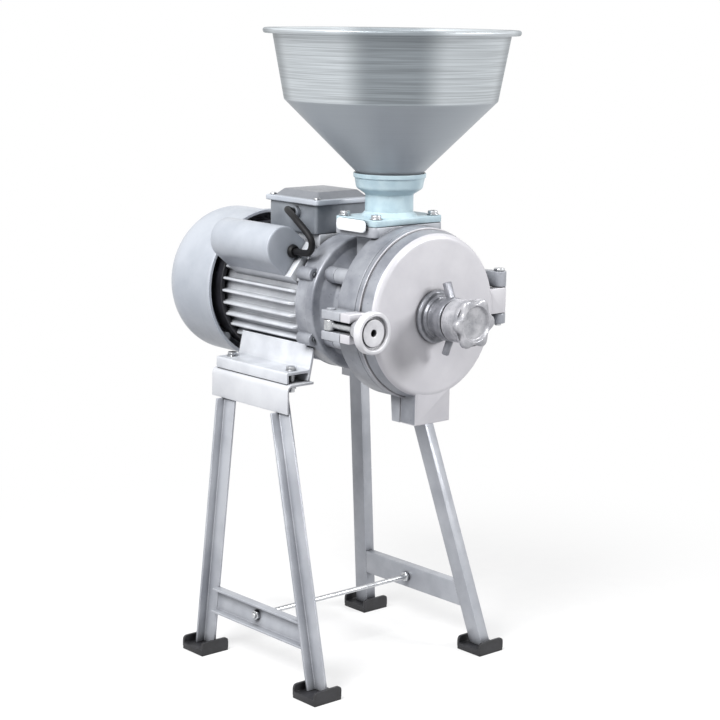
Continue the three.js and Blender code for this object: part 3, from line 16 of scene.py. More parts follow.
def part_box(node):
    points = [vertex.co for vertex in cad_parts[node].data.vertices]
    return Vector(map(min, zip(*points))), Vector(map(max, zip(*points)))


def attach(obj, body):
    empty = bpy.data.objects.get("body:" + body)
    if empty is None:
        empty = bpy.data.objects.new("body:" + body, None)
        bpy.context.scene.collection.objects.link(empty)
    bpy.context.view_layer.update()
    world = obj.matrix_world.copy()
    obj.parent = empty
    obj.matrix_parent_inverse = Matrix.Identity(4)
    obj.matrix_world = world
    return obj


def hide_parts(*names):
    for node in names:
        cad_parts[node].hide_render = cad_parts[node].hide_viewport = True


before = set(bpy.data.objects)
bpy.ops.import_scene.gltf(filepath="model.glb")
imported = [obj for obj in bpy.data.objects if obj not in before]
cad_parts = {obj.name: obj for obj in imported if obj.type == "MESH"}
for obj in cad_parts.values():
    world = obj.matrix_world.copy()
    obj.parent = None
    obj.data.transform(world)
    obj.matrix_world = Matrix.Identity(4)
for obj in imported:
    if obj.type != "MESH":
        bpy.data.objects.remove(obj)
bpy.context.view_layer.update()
MM = 0.001


def span(node):
    """The lowest and highest corner of a CAD node in millimetres."""
    low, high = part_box(node)
    return low / MM, high / MM


# %% [markdown]
# ## The camera
# The photograph was taken from the left front, a little above the shaft, with a long lens. The camera's place
# and its three directions come from a fit of the stand, the motor and the mill circles to the picture.

# %% Camera
SENSOR = 36
LENS = 93.0
CAMERA_PLACE = Vector((-1441.2, -1682.6, 789.9))
CAMERA_YAW = math.radians(41.35)
CAMERA_PITCH = math.radians(10.91)
CAMERA_ROLL = math.radians(0.81)


def make_camera():
    camera = bpy.data.objects.new("photo_camera", bpy.data.cameras.new("photo_camera"))
    bpy.context.scene.collection.objects.link(camera)
    camera.data.sensor_width = SENSOR
    camera.data.lens = LENS
    camera.data.clip_end = 30
    upright = Matrix.Rotation(-CAMERA_YAW, 4, "Z") @ Matrix.Rotation(math.pi / 2 - CAMERA_PITCH, 4, "X")
    camera.matrix_world = Matrix.Translation(CAMERA_PLACE * MM) @ upright @ Matrix.Rotation(CAMERA_ROLL, 4, "Z")
    bpy.context.scene.camera = camera
    return camera


camera = make_camera()
print("camera at", [round(value, 3) for value in camera.location])


# %% [markdown]
# ## Colours and nodes
# Colours are picked as hex values, as in a paint program, and Blender's shaders want linear light, so one
# function turns one into the other. One more function adds a node with its settings and links, and every
# material below is written with it.

# %% Colour and node helpers
def linear(code):
    """A hex colour as linear red, green, blue and alpha."""
    channels = [int(code[at : at + 2], 16) / 255 for at in (1, 3, 5)]
    return (*[c / 12.92 if c <= 0.04045 else ((c + 0.055) / 1.055) ** 2.4 for c in channels], 1.0)


def feed(tree, node, links):
    """Links a node's inputs. Each is fed by a socket, or by a node, which then gives its first output."""
    for key, source in links.items():
        socket = source.outputs[0] if isinstance(source, bpy.types.Node) else source
        tree.links.new(socket, node.inputs[key])


def add_node(tree, kind, settings=None, links=None):
    """Adds a node. A setting is a property, an input's value or a ramp's stops. The links are as in feed."""
    node = tree.nodes.new("ShaderNode" + kind)
    for key, value in (settings or {}).items():
        if key == "stops":
            for element, (position, code) in zip(node.color_ramp.elements, value):
                element.position = position
                element.color = linear(code)
        elif isinstance(key, str) and key in node.bl_rna.properties:
            setattr(node, key, value)
        else:
            node.inputs[key].default_value = value
    feed(tree, node, links or {})
    return node


def new_material(name, **shader_values):
    """A material with its node tree and its shader, whose inputs take the values given by name."""
    material = bpy.data.materials.new(name)
    material.use_nodes = True
    shader = material.node_tree.nodes["Principled BSDF"]
    for key, value in shader_values.items():
        shader.inputs[key.replace("_", " ")].default_value = value
    return material, material.node_tree, shader


print("linear mid grey", [round(value, 3) for value in linear("#808080")])


# %% [markdown]
# ## Paint, plate, iron and plastic
# The mill head, the shields and the motor frame are cast, and the silver paint over them keeps the pebbled skin
# of the mould. Sprayed sheet is smoother, with the faint waves of orange peel. Zinc plate is clear and slightly
# cloudy, bare iron is dark and rough, and moulded plastic has an etched grain. All of them are one recipe: wide
# clouds move the colour, a fine grain moves the roughness and the bump, a painted highlight lightens the edges,
# and painted shade darkens every crevice within a few millimetres of another surface.

# %% Mottled surfaces
CREVICE = 12.0
# Painted shade: the colours that darken a surface near another one, down to #333338 in the deepest corners.
CREVICE_SHADE_STOPS = [(0.2, "#333338"), (0.85, "#FFFFFF")]
# Painted highlight: how much lighter the softened edges are painted.
EDGE_HIGHLIGHT = 0.7
DARK_CLOUD, PALE_CLOUD = 0.36, 0.64
SMOOTHER, ROUGHER = 0.07, 0.09


def mottled(name, pale, dark, roughness, clouds, grain, depth, edge=1.2, **shader_values):
    """A finish whose sizes are real millimetres: of its clouds, its grain, the grain's depth and its soft edges."""
    material, tree, shader = new_material(name, Roughness=roughness, **shader_values)
    here = add_node(tree, "TexCoord").outputs["Object"]
    broad = {"Scale": 1 / (clouds * MM), "Detail": 4.0, "Roughness": 0.55}
    wide = add_node(tree, "TexNoise", broad, {"Vector": here})
    close = {"Scale": 1 / (grain * MM), "Detail": 3.0, "Roughness": 0.5}
    fine = add_node(tree, "TexNoise", close, {"Vector": here})
    tone = add_node(tree, "ValToRGB", {"stops": [(DARK_CLOUD, dark), (PALE_CLOUD, pale)]}, {"Fac": wide})
    # Painted shade in crevices: ambient occlusion darkens the colour wherever another surface is near.
    hidden = add_node(tree, "AmbientOcclusion", {"samples": 6, "Distance": CREVICE * MM}).outputs["AO"]
    crevice_shade = add_node(tree, "ValToRGB", {"stops": CREVICE_SHADE_STOPS}, {"Fac": hidden})
    edge_normal = add_node(tree, "Bevel", {"samples": 4, "Radius": edge * MM})
    # Painted highlight on edges: where the softened normal turns from the face, the colour is added to itself.
    facing = add_node(tree, "NewGeometry").outputs["Normal"]
    flatness = add_node(tree, "VectorMath", {"operation": "DOT_PRODUCT"}, {0: edge_normal, 1: facing}).outputs["Value"]
    lightening_range = {"From Min": 0.8, "From Max": 0.99, "To Min": EDGE_HIGHLIGHT, "To Max": 0.0}
    edge_lightening = add_node(tree, "MapRange", lightening_range, {"Value": flatness})
    lightened = add_node(tree, "MixRGB", {"blend_type": "ADD"}, {"Fac": edge_lightening, "Color1": tone, "Color2": tone})
    shaded = add_node(tree, "MixRGB", {"blend_type": "MULTIPLY", "Fac": 1.0}, {"Color1": lightened, "Color2": crevice_shade})
    polish = {"From Min": 0.3, "From Max": 0.7, "To Min": roughness - SMOOTHER, "To Max": roughness + ROUGHER}
    sheen = add_node(tree, "MapRange", polish, {"Value": fine})
    skin = add_node(tree, "Bump", {"Strength": 1.0, "Distance": depth * MM}, {"Height": fine, "Normal": edge_normal})
    feed(tree, shader, {"Base Color": shaded, "Roughness": sheen, "Normal": skin})
    return material


cast_silver = mottled("silver_paint_on_cast_iron", "#AFB2B8", "#93969D", 0.38, 38, 2.2, 0.12, Metallic=0.1)
shield_silver = mottled("silver_paint_on_cast_shield", "#A0A3AA", "#7E8189", 0.34, 30, 2.6, 0.1, Metallic=0.15)
frame_silver = mottled("silver_paint_on_motor_frame", "#D8DBE0", "#C4C7CD", 0.38, 40, 1.6, 0.05, Metallic=0.15)
lock_silver = mottled("silver_paint_on_lock_ring", "#8B8C92", "#6E7076", 0.36, 12, 1.6, 0.12, Metallic=0.5)
wheel_silver = mottled("silver_paint_on_cast_wheel", "#BDBDC1", "#94959A", 0.32, 14, 1.4, 0.1, Metallic=0.35)
cover_silver = mottled("silver_spray_on_pressed_steel", "#B6BBC3", "#A4AAB3", 0.36, 60, 4, 0.01, Metallic=0.05)
lid_silver = mottled("grey_spray_on_lid", "#84878D", "#777A80", 0.36, 40, 3, 0.02, Metallic=0.1)
box_silver = mottled("grey_spray_on_terminal_box", "#8F949B", "#7B8087", 0.36, 40, 3, 0.03, Metallic=0.3)
# Painted shade: a darker silver for the sideways faces of the rims at the parting line.
rim_shade_silver = mottled("silver_with_painted_rim_shade", "#989BA2", "#7F828A", 0.34, 30, 2.4, 0.06, Metallic=0.2)
knob_white = mottled("pale_paint_on_clamp_knob", "#DCDCDF", "#CACACE", 0.34, 14, 1.4, 0.06, Metallic=0.15)
door_silver = mottled("pale_grey_paint_on_door", "#D0CFD3", "#C5C4C9", 0.36, 60, 5, 0.03, Metallic=0.1)
leg_silver = mottled("silver_paint_on_angle_iron", "#B4B7BD", "#A0A3AA", 0.38, 50, 4, 0.04, Metallic=0.25)
rail_pale = mottled("pale_paint_on_bent_rail", "#D6D8DC", "#C9CBD0", 0.42, 50, 5, 0.03, Metallic=0.05)
seat_cyan = mottled("pale_cyan_paint_on_seat", "#BACED5", "#A6BCC6", 0.4, 20, 3, 0.04)
gate_white = mottled("white_enamel_on_gate", "#ECEEF0", "#E2E5E8", 0.32, 20, 4, 0.02)
zinc = mottled("zinc_plated_steel", "#C9CBCD", "#B3B5B9", 0.3, 5, 0.8, 0.01, Metallic=1.0)
turned_steel = mottled("turned_steel", "#B4B7BA", "#9EA1A6", 0.26, 3, 0.5, 0.01, Metallic=1.0)
grey_iron = mottled("ground_grey_iron", "#6D7074", "#4F5256", 0.45, 8, 1.5, 0.06, Metallic=1.0)
copper = mottled("varnished_copper_winding", "#B87348", "#8E5331", 0.38, 4, 1.4, 0.2, Metallic=1.0)
shoe_black = mottled("black_moulded_shoe", "#26262A", "#1A1A1D", 0.5, 14, 0.9, 0.04)
plastic_black = mottled("black_nylon", "#232327", "#17171A", 0.45, 12, 0.8, 0.03, IOR=1.53)
rubber_black = mottled("black_rubber_sleeve", "#131316", "#0B0B0D", 0.55, 10, 0.7, 0.03, IOR=1.35)
# Painted shade: the rear shield is painted black to stand for the dark gap that it sits in.
rear_shield_shade = mottled("black_painted_shade_on_rear_shield", "#232329", "#16161A", 0.4, 20, 1.8, 0.05)
case_white = mottled("white_polypropylene_case", "#E9ECEF", "#DDE1E6", 0.4, 20, 1.0, 0.02, IOR=1.49)
print("finishes", len(bpy.data.materials))


# %% [markdown]
# ## Spun metal
# The hopper is sheet metal pressed over a turning form. The tool leaves fine rings all the way round, so light
# smears across them. The rings are noise that changes fast with the height and slowly round the axis, and the
# smear is the shader's anisotropy. Broad upright bands, light and dark by turns, are a painted reflection: a
# cosine of the angle round the axis, darkest towards the camera. Below the crease the sheet is plainer, darker
# and less like bare metal.

# %% Spun hopper metal
HOPPER_LOW, HOPPER_HIGH = span("hopper")
HOPPER_X = (HOPPER_LOW.x + HOPPER_HIGH.x) / 2
HOPPER_Y = (HOPPER_LOW.y + HOPPER_HIGH.y) / 2
CREASE_HEIGHT = HOPPER_HIGH.z - 80
RING_SPACING = 1.3
RING_STRETCH = 0.9
RING_DEPTH = 0.03
RING_STOPS = [(0.36, "#D2D2D2"), (0.6, "#FFFFFF")]
# Painted reflection: the turn, count and fraying of the light and dark upright bands on the hopper.
REFLECTION_TURN = math.radians(-131)
REFLECTION_BANDS = 4
REFLECTION_FRAY = 0.25
CREASE_BLUR = 1.5


def spun_metal(name, pale, shade, cone, roughness):
    """Spun sheet: painted reflection bands, pale and shaded, with fine rings above the crease, and the cone's colour
    below it.
    """
    material, tree, shader = new_material(name, Roughness=roughness, Anisotropic=0.5)
    here = add_node(tree, "TexCoord").outputs["Object"]
    centred = add_node(tree, "Mapping", {"Location": (-HOPPER_X * MM, -HOPPER_Y * MM, 0)}, {"Vector": here})
    parts = add_node(tree, "SeparateXYZ", links={"Vector": centred}).outputs
    angle = add_node(tree, "Math", {"operation": "ARCTAN2"}, {0: parts["Y"], 1: parts["X"]})
    across = add_node(tree, "Math", {"operation": "COSINE"}, {0: angle})
    aside = add_node(tree, "Math", {"operation": "SINE"}, {0: angle})
    along = add_node(tree, "CombineXYZ", links={"X": across, "Y": aside, "Z": parts["Z"]})
    stretch = (RING_STRETCH, RING_STRETCH, 1 / (RING_SPACING * MM))
    place = add_node(tree, "Mapping", {"Scale": stretch}, {"Vector": along})
    rings = add_node(tree, "TexNoise", {"Scale": 1.0, "Detail": 4.0}, {"Vector": place})
    drift = add_node(tree, "MapRange", {"To Min": -REFLECTION_FRAY, "To Max": REFLECTION_FRAY}, {"Value": rings})
    # Painted reflection: a cosine round the axis, darkest towards the camera and frayed by the rings, picks the
    # wall's tone.
    moved = add_node(tree, "Math", {"operation": "ADD", 1: -REFLECTION_TURN}, {0: angle})
    wide = add_node(tree, "Math", {"operation": "MULTIPLY", 1: REFLECTION_BANDS}, {0: moved})
    wave = add_node(tree, "Math", {"operation": "COSINE"}, {0: wide})
    frayed = add_node(tree, "Math", {"operation": "ADD"}, {0: wave, 1: drift})
    softness = {"interpolation_type": "SMOOTHSTEP", "From Min": -0.35, "From Max": 0.75}
    reflection_bands = add_node(tree, "MapRange", softness, {"Value": frayed})
    wall = add_node(tree, "ValToRGB", {"stops": [(0.0, pale), (1.0, shade)]}, {"Fac": reflection_bands})
    edge = {"From Min": (CREASE_HEIGHT - CREASE_BLUR) * MM, "From Max": (CREASE_HEIGHT + CREASE_BLUR) * MM}
    above = add_node(tree, "MapRange", edge, {"Value": parts["Z"]})
    base = add_node(tree, "MixRGB", {"Color1": linear(cone)}, {"Fac": above, "Color2": wall})
    lines = add_node(tree, "ValToRGB", {"stops": RING_STOPS}, {"Fac": rings})
    polish = add_node(tree, "MapRange", {"To Min": 0.2, "To Max": 0.65}, {"Value": above})
    depth = add_node(tree, "MapRange", {"To Min": 0.08, "To Max": 0.9}, {"Value": above})
    lined = add_node(tree, "MixRGB", {"blend_type": "MULTIPLY"}, {"Fac": depth, "Color1": base, "Color2": lines})
    skin = add_node(tree, "Bump", {"Strength": 1.0, "Distance": RING_DEPTH * MM}, {"Height": rings})
    round_way = add_node(tree, "Tangent", {"direction_type": "RADIAL", "axis": "Z"})
    feed(tree, shader, {"Base Color": lined, "Metallic": polish, "Normal": skin, "Tangent": round_way})
    return material


spun_hopper = spun_metal("spun_aluminium", "#C8CED2", "#8F969B", "#A8AFB5", 0.36)
print("hopper axis", round(HOPPER_X, 2), round(HOPPER_Y, 2), "crease at", round(CREASE_HEIGHT, 1))


# %% [markdown]
# ## Making solids
# Nearly every piece is one of two kinds: an outline turned about an axis, like work on a lathe, or an outline
# pushed straight along one. Corners are rounded in the outline itself, which gives clean rings of faces that no
# bevel has to find. Booleans join and cut the results, and smooth shading stops at edges sharper than an angle.
# Pieces that meet keep GAP between them, and a cutter runs PAST the surface that it opens, so that no thin skin is
# left there.

# %% Mesh helpers
TURN_STEPS = 96
FINE_STEPS = 128
SMALL_STEPS = 64
ROD_STEPS = 48
CRISP_ANGLE = math.radians(33)
OUTLINE_STEPS = 3


def rounded(outline, radius, steps=OUTLINE_STEPS):
    """A closed outline whose corners are small curves. radius is one size or one for each corner."""
    count = len(outline)
    radii = radius if isinstance(radius, (list, tuple)) else [radius] * count
    points = []
    for index, spot in enumerate(outline):
        here = Vector(spot)
        back = Vector(outline[index - 1]) - here
        ahead = Vector(outline[(index + 1) % count]) - here
        inside = back.angle(ahead)
        if radii[index] == 0 or here.x == 0 or inside > math.radians(176):
            points.append(tuple(here))
            continue
        reach = min(radii[index] / math.tan(inside / 2), 0.45 * back.length, 0.45 * ahead.length)
        first = here + back.normalized() * reach
        last = here + ahead.normalized() * reach
        for step in range(steps + 1):
            share = step / steps
            point = (1 - share) ** 2 * first + 2 * share * (1 - share) * here + share**2 * last
            points.append(tuple(point))
    return points


def settled(piece):
    """Works a piece's modifiers into its mesh."""
    bpy.context.view_layer.update()
    shape = bpy.data.meshes.new_from_object(piece.evaluated_get(bpy.context.evaluated_depsgraph_get()))
    piece.modifiers.clear()
    piece.data = shape
    return piece


def crisp(piece, angle=CRISP_ANGLE):
    """Smooth shading that stops at sharp edges."""
    piece.data.polygons.foreach_set("use_smooth", [True] * len(piece.data.polygons))
    piece.data.set_sharp_from_angle(angle=angle)
    piece.data.update()
    return piece


def new_piece(name, shell):
    """A finished bmesh, in metres, as an object."""
    bmesh.ops.remove_doubles(shell, verts=shell.verts, dist=1e-7)
    bmesh.ops.recalc_face_normals(shell, faces=shell.faces)
    shape = bpy.data.meshes.new(name)
    shell.to_mesh(shape)
    shell.free()
    piece = bpy.data.objects.new(name, shape)
    bpy.context.scene.collection.objects.link(piece)
    return crisp(piece)


def skinned(name, loops, closed):
    """A solid through loops of points. closed joins the last loop to the first, otherwise both ends are capped."""
    shell = bmesh.new()
    rings = [[shell.verts.new(Vector(spot) * MM) for spot in loop] for loop in loops]
    count = len(rings[0])
    for index in range(len(rings) if closed else len(rings) - 1):
        near, far = rings[index], rings[(index + 1) % len(rings)]
        for corner in range(count):
            after = (corner + 1) % count
            shell.faces.new((near[corner], near[after], far[after], far[corner]))
    if not closed:
        shell.faces.new(rings[0])
        shell.faces.new(rings[-1])
    return new_piece(name, shell)


def placed(axis, first, second, station):
    """A point from its two coordinates across an axis and its station along it."""
    return {"X": (station, first, second), "Y": (first, station, second), "Z": (first, second, station)}[axis]


def turned(name, outline, axis, centre, steps=TURN_STEPS):
    """A closed outline of (radius, station) turned about an axis through centre."""
    loops = []
    for step in range(steps):
        angle = 2 * math.pi * step / steps
        across, up = math.cos(angle), math.sin(angle)
        loops.append([placed(axis, centre[0] + r * across, centre[1] + r * up, s) for r, s in outline])
    return skinned(name, loops, True)


def pushed(name, outline, axis, low, high, drift=(0, 0)):
    """An outline pushed along an axis. An end may be a function of the point, and drift shifts the high end."""
    ends = []
    for end, moved in ((low, (0, 0)), (high, drift)):
        loop = []
        for first, second in outline:
            station = end(first, second) if callable(end) else end
            loop.append(placed(axis, first + moved[0], second + moved[1], station))
        ends.append(loop)
    return skinned(name, ends, False)


def combined(piece, tools, operation):
    for tool in tools:
        step = piece.modifiers.new("combine", "BOOLEAN")
        step.operation = operation
        step.object = tool
        step.solver = "EXACT"
        settled(piece)
        bpy.data.objects.remove(tool)
    return crisp(piece)


def joined(piece, *others):
    return combined(piece, others, "UNION")


def carved(piece, *cutters):
    return combined(piece, cutters, "DIFFERENCE")


def softened(piece, width, steps=2, angle=30):
    """Rounds the sharp edges of a piece."""
    edge = piece.modifiers.new("edge", "BEVEL")
    edge.width = width * MM
    edge.segments = steps
    edge.limit_method = "ANGLE"
    edge.angle_limit = math.radians(angle)
    edge.miter_outer = "MITER_ARC"
    return crisp(settled(piece))


def rectangle(low, high):
    """The four corners between two opposite ones."""
    return [(low[0], low[1]), (high[0], low[1]), (high[0], high[1]), (low[0], high[1])]


def rod(name, radius, axis, centre, low, high, edge=0.4, steps=ROD_STEPS):
    return turned(name, rounded(rectangle((0, low), (radius, high)), edge), axis, centre, steps)


def slab(name, low, high, edge=0.0, steps=2):
    piece = pushed(name, rectangle(low, high), "Z", low[2], high[2])
    return softened(piece, edge, steps) if edge else piece


def hexagon(radius, centre, turn=0.0):
    angles = [turn + math.pi * side / 3 for side in range(6)]
    return [(centre[0] + radius * math.cos(a), centre[1] + radius * math.sin(a)) for a in angles]


def hex_head(name, radius, axis, centre, low, high, turn=0.0, edge=0.5):
    return softened(pushed(name, hexagon(radius, centre, turn), axis, low, high), edge)


DRESSED = []


def dress(piece, slot, material, *nodes, body="machine"):
    """Gives a piece its finish, its body and the CAD nodes that it stands for. The slot is not used."""
    piece.data.materials.clear()
    piece.data.materials.append(material)
    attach(piece, body)
    if nodes:
        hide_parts(*nodes)
    DRESSED.append(piece.name)
    return piece


def banded(piece, material, low, high):
    """Paints shade on a turned rim: a darker finish on the faces that look away from the shaft, between two radii."""
    piece.data.materials.append(material)
    for face in piece.data.polygons:
        radius = math.hypot(face.center.x / MM, face.center.z / MM - SHAFT_Z)
        if low < radius < high and abs(face.normal.y) < SIDE_ON:
            face.material_index = 1


def repaint(material, *nodes):
    """A CAD node that stays as it is, in a better finish."""
    for node in nodes:
        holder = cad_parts[node]
        holder.data.materials.clear()
        holder.data.materials.append(material)


def middle(node, axes="xy"):
    """The middle of a CAD node along each of the axes."""
    low, high = span(node)
    return tuple((getattr(low, axis) + getattr(high, axis)) / 2 for axis in axes)


def reach_of(node):
    """How near a CAD node comes to the upright plane through the shaft, and how far it goes from it."""
    low, high = span(node)
    return sorted((abs(low.x), abs(high.x)))


def swung(piece, angle):
    """Turns a piece made upright over the origin about the shaft, and lifts it there."""
    piece.data.transform(Matrix.Translation((0, 0, SHAFT_Z * MM)) @ Matrix.Rotation(angle, 4, "Y"))
    return piece


DOOR_LOW, DOOR_HIGH = span("door")
SHAFT_Z = middle("fan_cover", "z")[0]
SHAFT = (0.0, SHAFT_Z)
SIDE_ON = 0.6
GAP = 0.3
PAST = 4.0
SIDES = {"right": 1, "left": -1}
print("shaft height", round(SHAFT_Z, 2), "door from", round(DOOR_LOW.y, 2), "to", round(DOOR_HIGH.y, 2))


# %% [markdown]
# ## The stand
# The stand is welded from angle iron: two bent rails under the motor feet, four legs that lean out, a channel
# along each side near the floor, and one rod across. Each section is an outline pushed along its length, and a
# leg's far end simply drifts sideways, which is how a leaning bar is cut from a straight one.

# %% Rails and legs
RAIL_SHEET = 3.0
RAIL_BEND = 8.0
LEG_SHEET = 2.6
LEG_WEB = 22.0
LEG_FLANGE = 14.0
ROLLED_EDGE = 0.5
ROLLED_ROOT = 1.5
RAIL_ROOM = 5.0


def rounded_all(outline, radii, steps=OUTLINE_STEPS):
    """As rounded, for an outline that isn't turned, so a point on zero is rounded too."""
    moved = [(first + 1000, second) for first, second in outline]
    return [(first - 1000, second) for first, second in rounded(moved, radii, steps)]


def make_rail(side, sign):
    low, high = span(f"rail_{side}")
    inner, outer = reach_of(f"rail_{side}")
    corners = [
        (outer, low.z), (outer, high.z), (inner, high.z), (inner, high.z - RAIL_SHEET),
        (outer - RAIL_SHEET, high.z - RAIL_SHEET), (outer - RAIL_SHEET, low.z),
    ]
    outline = rounded(corners, [0, RAIL_BEND, 0, 0, RAIL_BEND - RAIL_SHEET, 0], 6)
    piece = pushed(f"{side}_rail", [(sign * x, z) for x, z in outline], "Y", low.y, high.y)
    return dress(softened(piece, ROLLED_EDGE), "rail_steel", rail_pale, f"rail_{side}")


def web_ends(place, side):
    """Where a leg's web begins along the machine, at the foot and at the top."""
    low, high = span(f"{place}_leg_{side}")
    return (low.y, high.y - LEG_WEB) if place == "front" else (high.y - LEG_WEB, low.y)


def make_leg(place, side, sign):
    low, high = span(f"{place}_leg_{side}")
    rail_low = span(f"rail_{side}")[0]
    inner, outer = reach_of(f"{place}_leg_{side}")
    foot_x = outer - LEG_FLANGE
    foot_y, top_y = web_ends(place, side)
    near, far = (0.0, LEG_WEB) if sign > 0 else (LEG_WEB, 0.0)
    thick = LEG_SHEET if sign > 0 else -LEG_SHEET
    section = [
        (0, near), (LEG_FLANGE, near), (LEG_FLANGE, near + thick),
        (LEG_SHEET, near + thick), (LEG_SHEET, far), (0, far),
    ]
    corners = rounded_all(section, [0, 0, 0, ROLLED_ROOT, 0, 0])
    outline = [(sign * (foot_x + x), foot_y + y) for x, y in corners]
    drift = (sign * (inner - foot_x), top_y - foot_y)
    piece = pushed(f"{side}_{place}_leg", outline, "Z", low.z, high.z, drift)
    under_rail = reach_of(f"rail_{side}")[1] - RAIL_SHEET - GAP
    reach = sorted((sign * under_rail, sign * (outer + LEG_FLANGE)))
    room = slab(
        "rail_room", (reach[0], low.y - RAIL_ROOM, rail_low.z - GAP),
        (reach[1], high.y + RAIL_ROOM, high.z + RAIL_ROOM),
    )
    piece = softened(carved(piece, room), ROLLED_EDGE)
    return dress(piece, "stand_paint", leg_silver, f"{place}_leg_{side}")


for side, sign in SIDES.items():
    make_rail(side, sign)
    for place in ("front", "rear"):
        make_leg(place, side, sign)
print("legs and rails", len(DRESSED))


# %% [markdown]
# The crossbars are channels that follow the lean of the legs, with ends cut to the legs' slope. Black moulded
# shoes keep the steel off the floor: each is a tray whose front and back walls stand up round the leg.

# %% Crossbars, tie rod and shoes
BAR_SHEET = 2.5
BAR_ROOT = 1.2
TIE_RADIUS = 3.5
THREAD_TURNS = 9
THREAD_PITCH = 1.0
THREAD_DEPTH = 0.5
NUT_RADIUS = 6.5
NUT_THICK = 5.0
SHOE_BASE = 8.0
SHOE_WALL = 3.0
SHOE_CORNER = 6.0


def leg_edge(place, side, height, rear_edge):
    """Where a leg's front or rear edge is along the machine, at a height."""
    low, high = span(f"{place}_leg_{side}")
    share = (height - low.z) / (high.z - low.z)
    foot, top = web_ends(place, side)
    return foot + (top - foot) * share + (LEG_WEB if rear_edge else 0.0)


def make_crossbar(side, sign):
    low, high = span(f"crossbar_{side}")
    inner, outer = reach_of(f"crossbar_{side}")
    leg_low, leg_high = span(f"front_leg_{side}")
    leg_inner, leg_outer = reach_of(f"front_leg_{side}")
    slope = (leg_outer - leg_inner - LEG_FLANGE) / (leg_high.z - leg_low.z)
    depth = outer - inner - slope * (high.z - low.z)
    section = [
        (0, low.z), (depth, low.z), (depth, low.z + BAR_SHEET), (BAR_SHEET, low.z + BAR_SHEET),
        (BAR_SHEET, high.z - BAR_SHEET), (depth, high.z - BAR_SHEET), (depth, high.z), (0, high.z),
    ]
    corners = rounded_all(section, [BAR_ROOT, 0, 0, BAR_ROOT, BAR_ROOT, 0, 0, BAR_ROOT])
    outline = [(sign * (inner + x + slope * (high.z - z)), z) for x, z in corners]
    piece = pushed(
        f"{side}_crossbar", outline, "Y",
        lambda x, z: leg_edge("front", side, z, True) + GAP, lambda x, z: leg_edge("rear", side, z, False) - GAP,
    )
    past_bar = span("tie_rod")[1].x * 1.1
    hole = rod("rod_hole", TIE_RADIUS + GAP, "X", middle("tie_rod", "yz"), *sorted((0.0, sign * past_bar)))
    piece = carved(softened(piece, ROLLED_EDGE), hole)
    return dress(piece, "stand_paint", leg_silver, f"crossbar_{side}")


def make_tie_rod():
    high = span("tie_rod")[1]
    centre = middle("tie_rod", "yz")
    root = TIE_RADIUS - THREAD_DEPTH
    ends = [(0, high.x), (root, high.x)]
    for turn in range(THREAD_TURNS):
        station = high.x - 0.6 - THREAD_PITCH * turn
        ends += [(TIE_RADIUS, station), (root, station - THREAD_PITCH / 2)]
    outline = ends + [(radius, -station) for radius, station in reversed(ends)]
    piece = turned("tie_rod_with_nuts", outline, "X", centre, 32)
    web = middle("crossbar_right", "x")[0] - LEG_FLANGE / 2 + 2 * BAR_SHEET
    outside = high.x - NUT_THICK - 2.4
    inside = web - NUT_THICK - BAR_SHEET - 1.6
    nuts = []
    for sign in SIDES.values():
        for near, turn in ((outside, 0.3), (inside, 0.8)):
            reach = sorted((sign * near, sign * (near + NUT_THICK)))
            nuts.append(hex_head("nut", NUT_RADIUS, "X", centre, *reach, turn=turn))
    return dress(joined(piece, *nuts), "zinc", zinc, "tie_rod")


def make_shoe(place, side):
    low, high = span(f"{place}_shoe_{side}")
    base = slab("base", low, (high.x, high.y, SHOE_BASE), 0.8)
    corners = rectangle((low.x, SHOE_BASE / 2), (high.x, high.z))
    outline = rounded_all(corners, [0, 0, SHOE_CORNER, SHOE_CORNER], 4)
    spans = ((low.y, low.y + SHOE_WALL), (high.y - SHOE_WALL, high.y))
    piece = joined(base, *[pushed("wall", outline, "Y", near, far) for near, far in spans])
    return dress(piece, "shoe_plastic", shoe_black, f"{place}_shoe_{side}")


for side, sign in SIDES.items():
    make_crossbar(side, sign)
    for place in ("front", "rear"):
        make_shoe(place, side)
make_tie_rod()
print("stand pieces", len(DRESSED))


# %% [markdown]
# ## Motor feet
# A bent bracket runs down each side of the motor and ends in a hollow shelf that is bolted to the rail. The bolts
# have a hexagon head on a spring washer and a flat washer, which the photograph shows as small stepped stacks.

# %% Motor feet and bolts
FOOT_PLATE = 13.5
FOOT_SHEET = 3.5
FOOT_WEB = 4.0
FOOT_WEB_LOW_X = 68.0
FOOT_WEB_TOP_X = 58.0
FOOT_RISE = 4.0
FOOT_BORE = 79.3
FOOT_COLLAR_BORE = 81.3
FOOT_PAST = 10.0
BOLT_RADIUS = 4.0
BOLT_HEAD = 6.6
BOLT_HEAD_THICK = 5.0


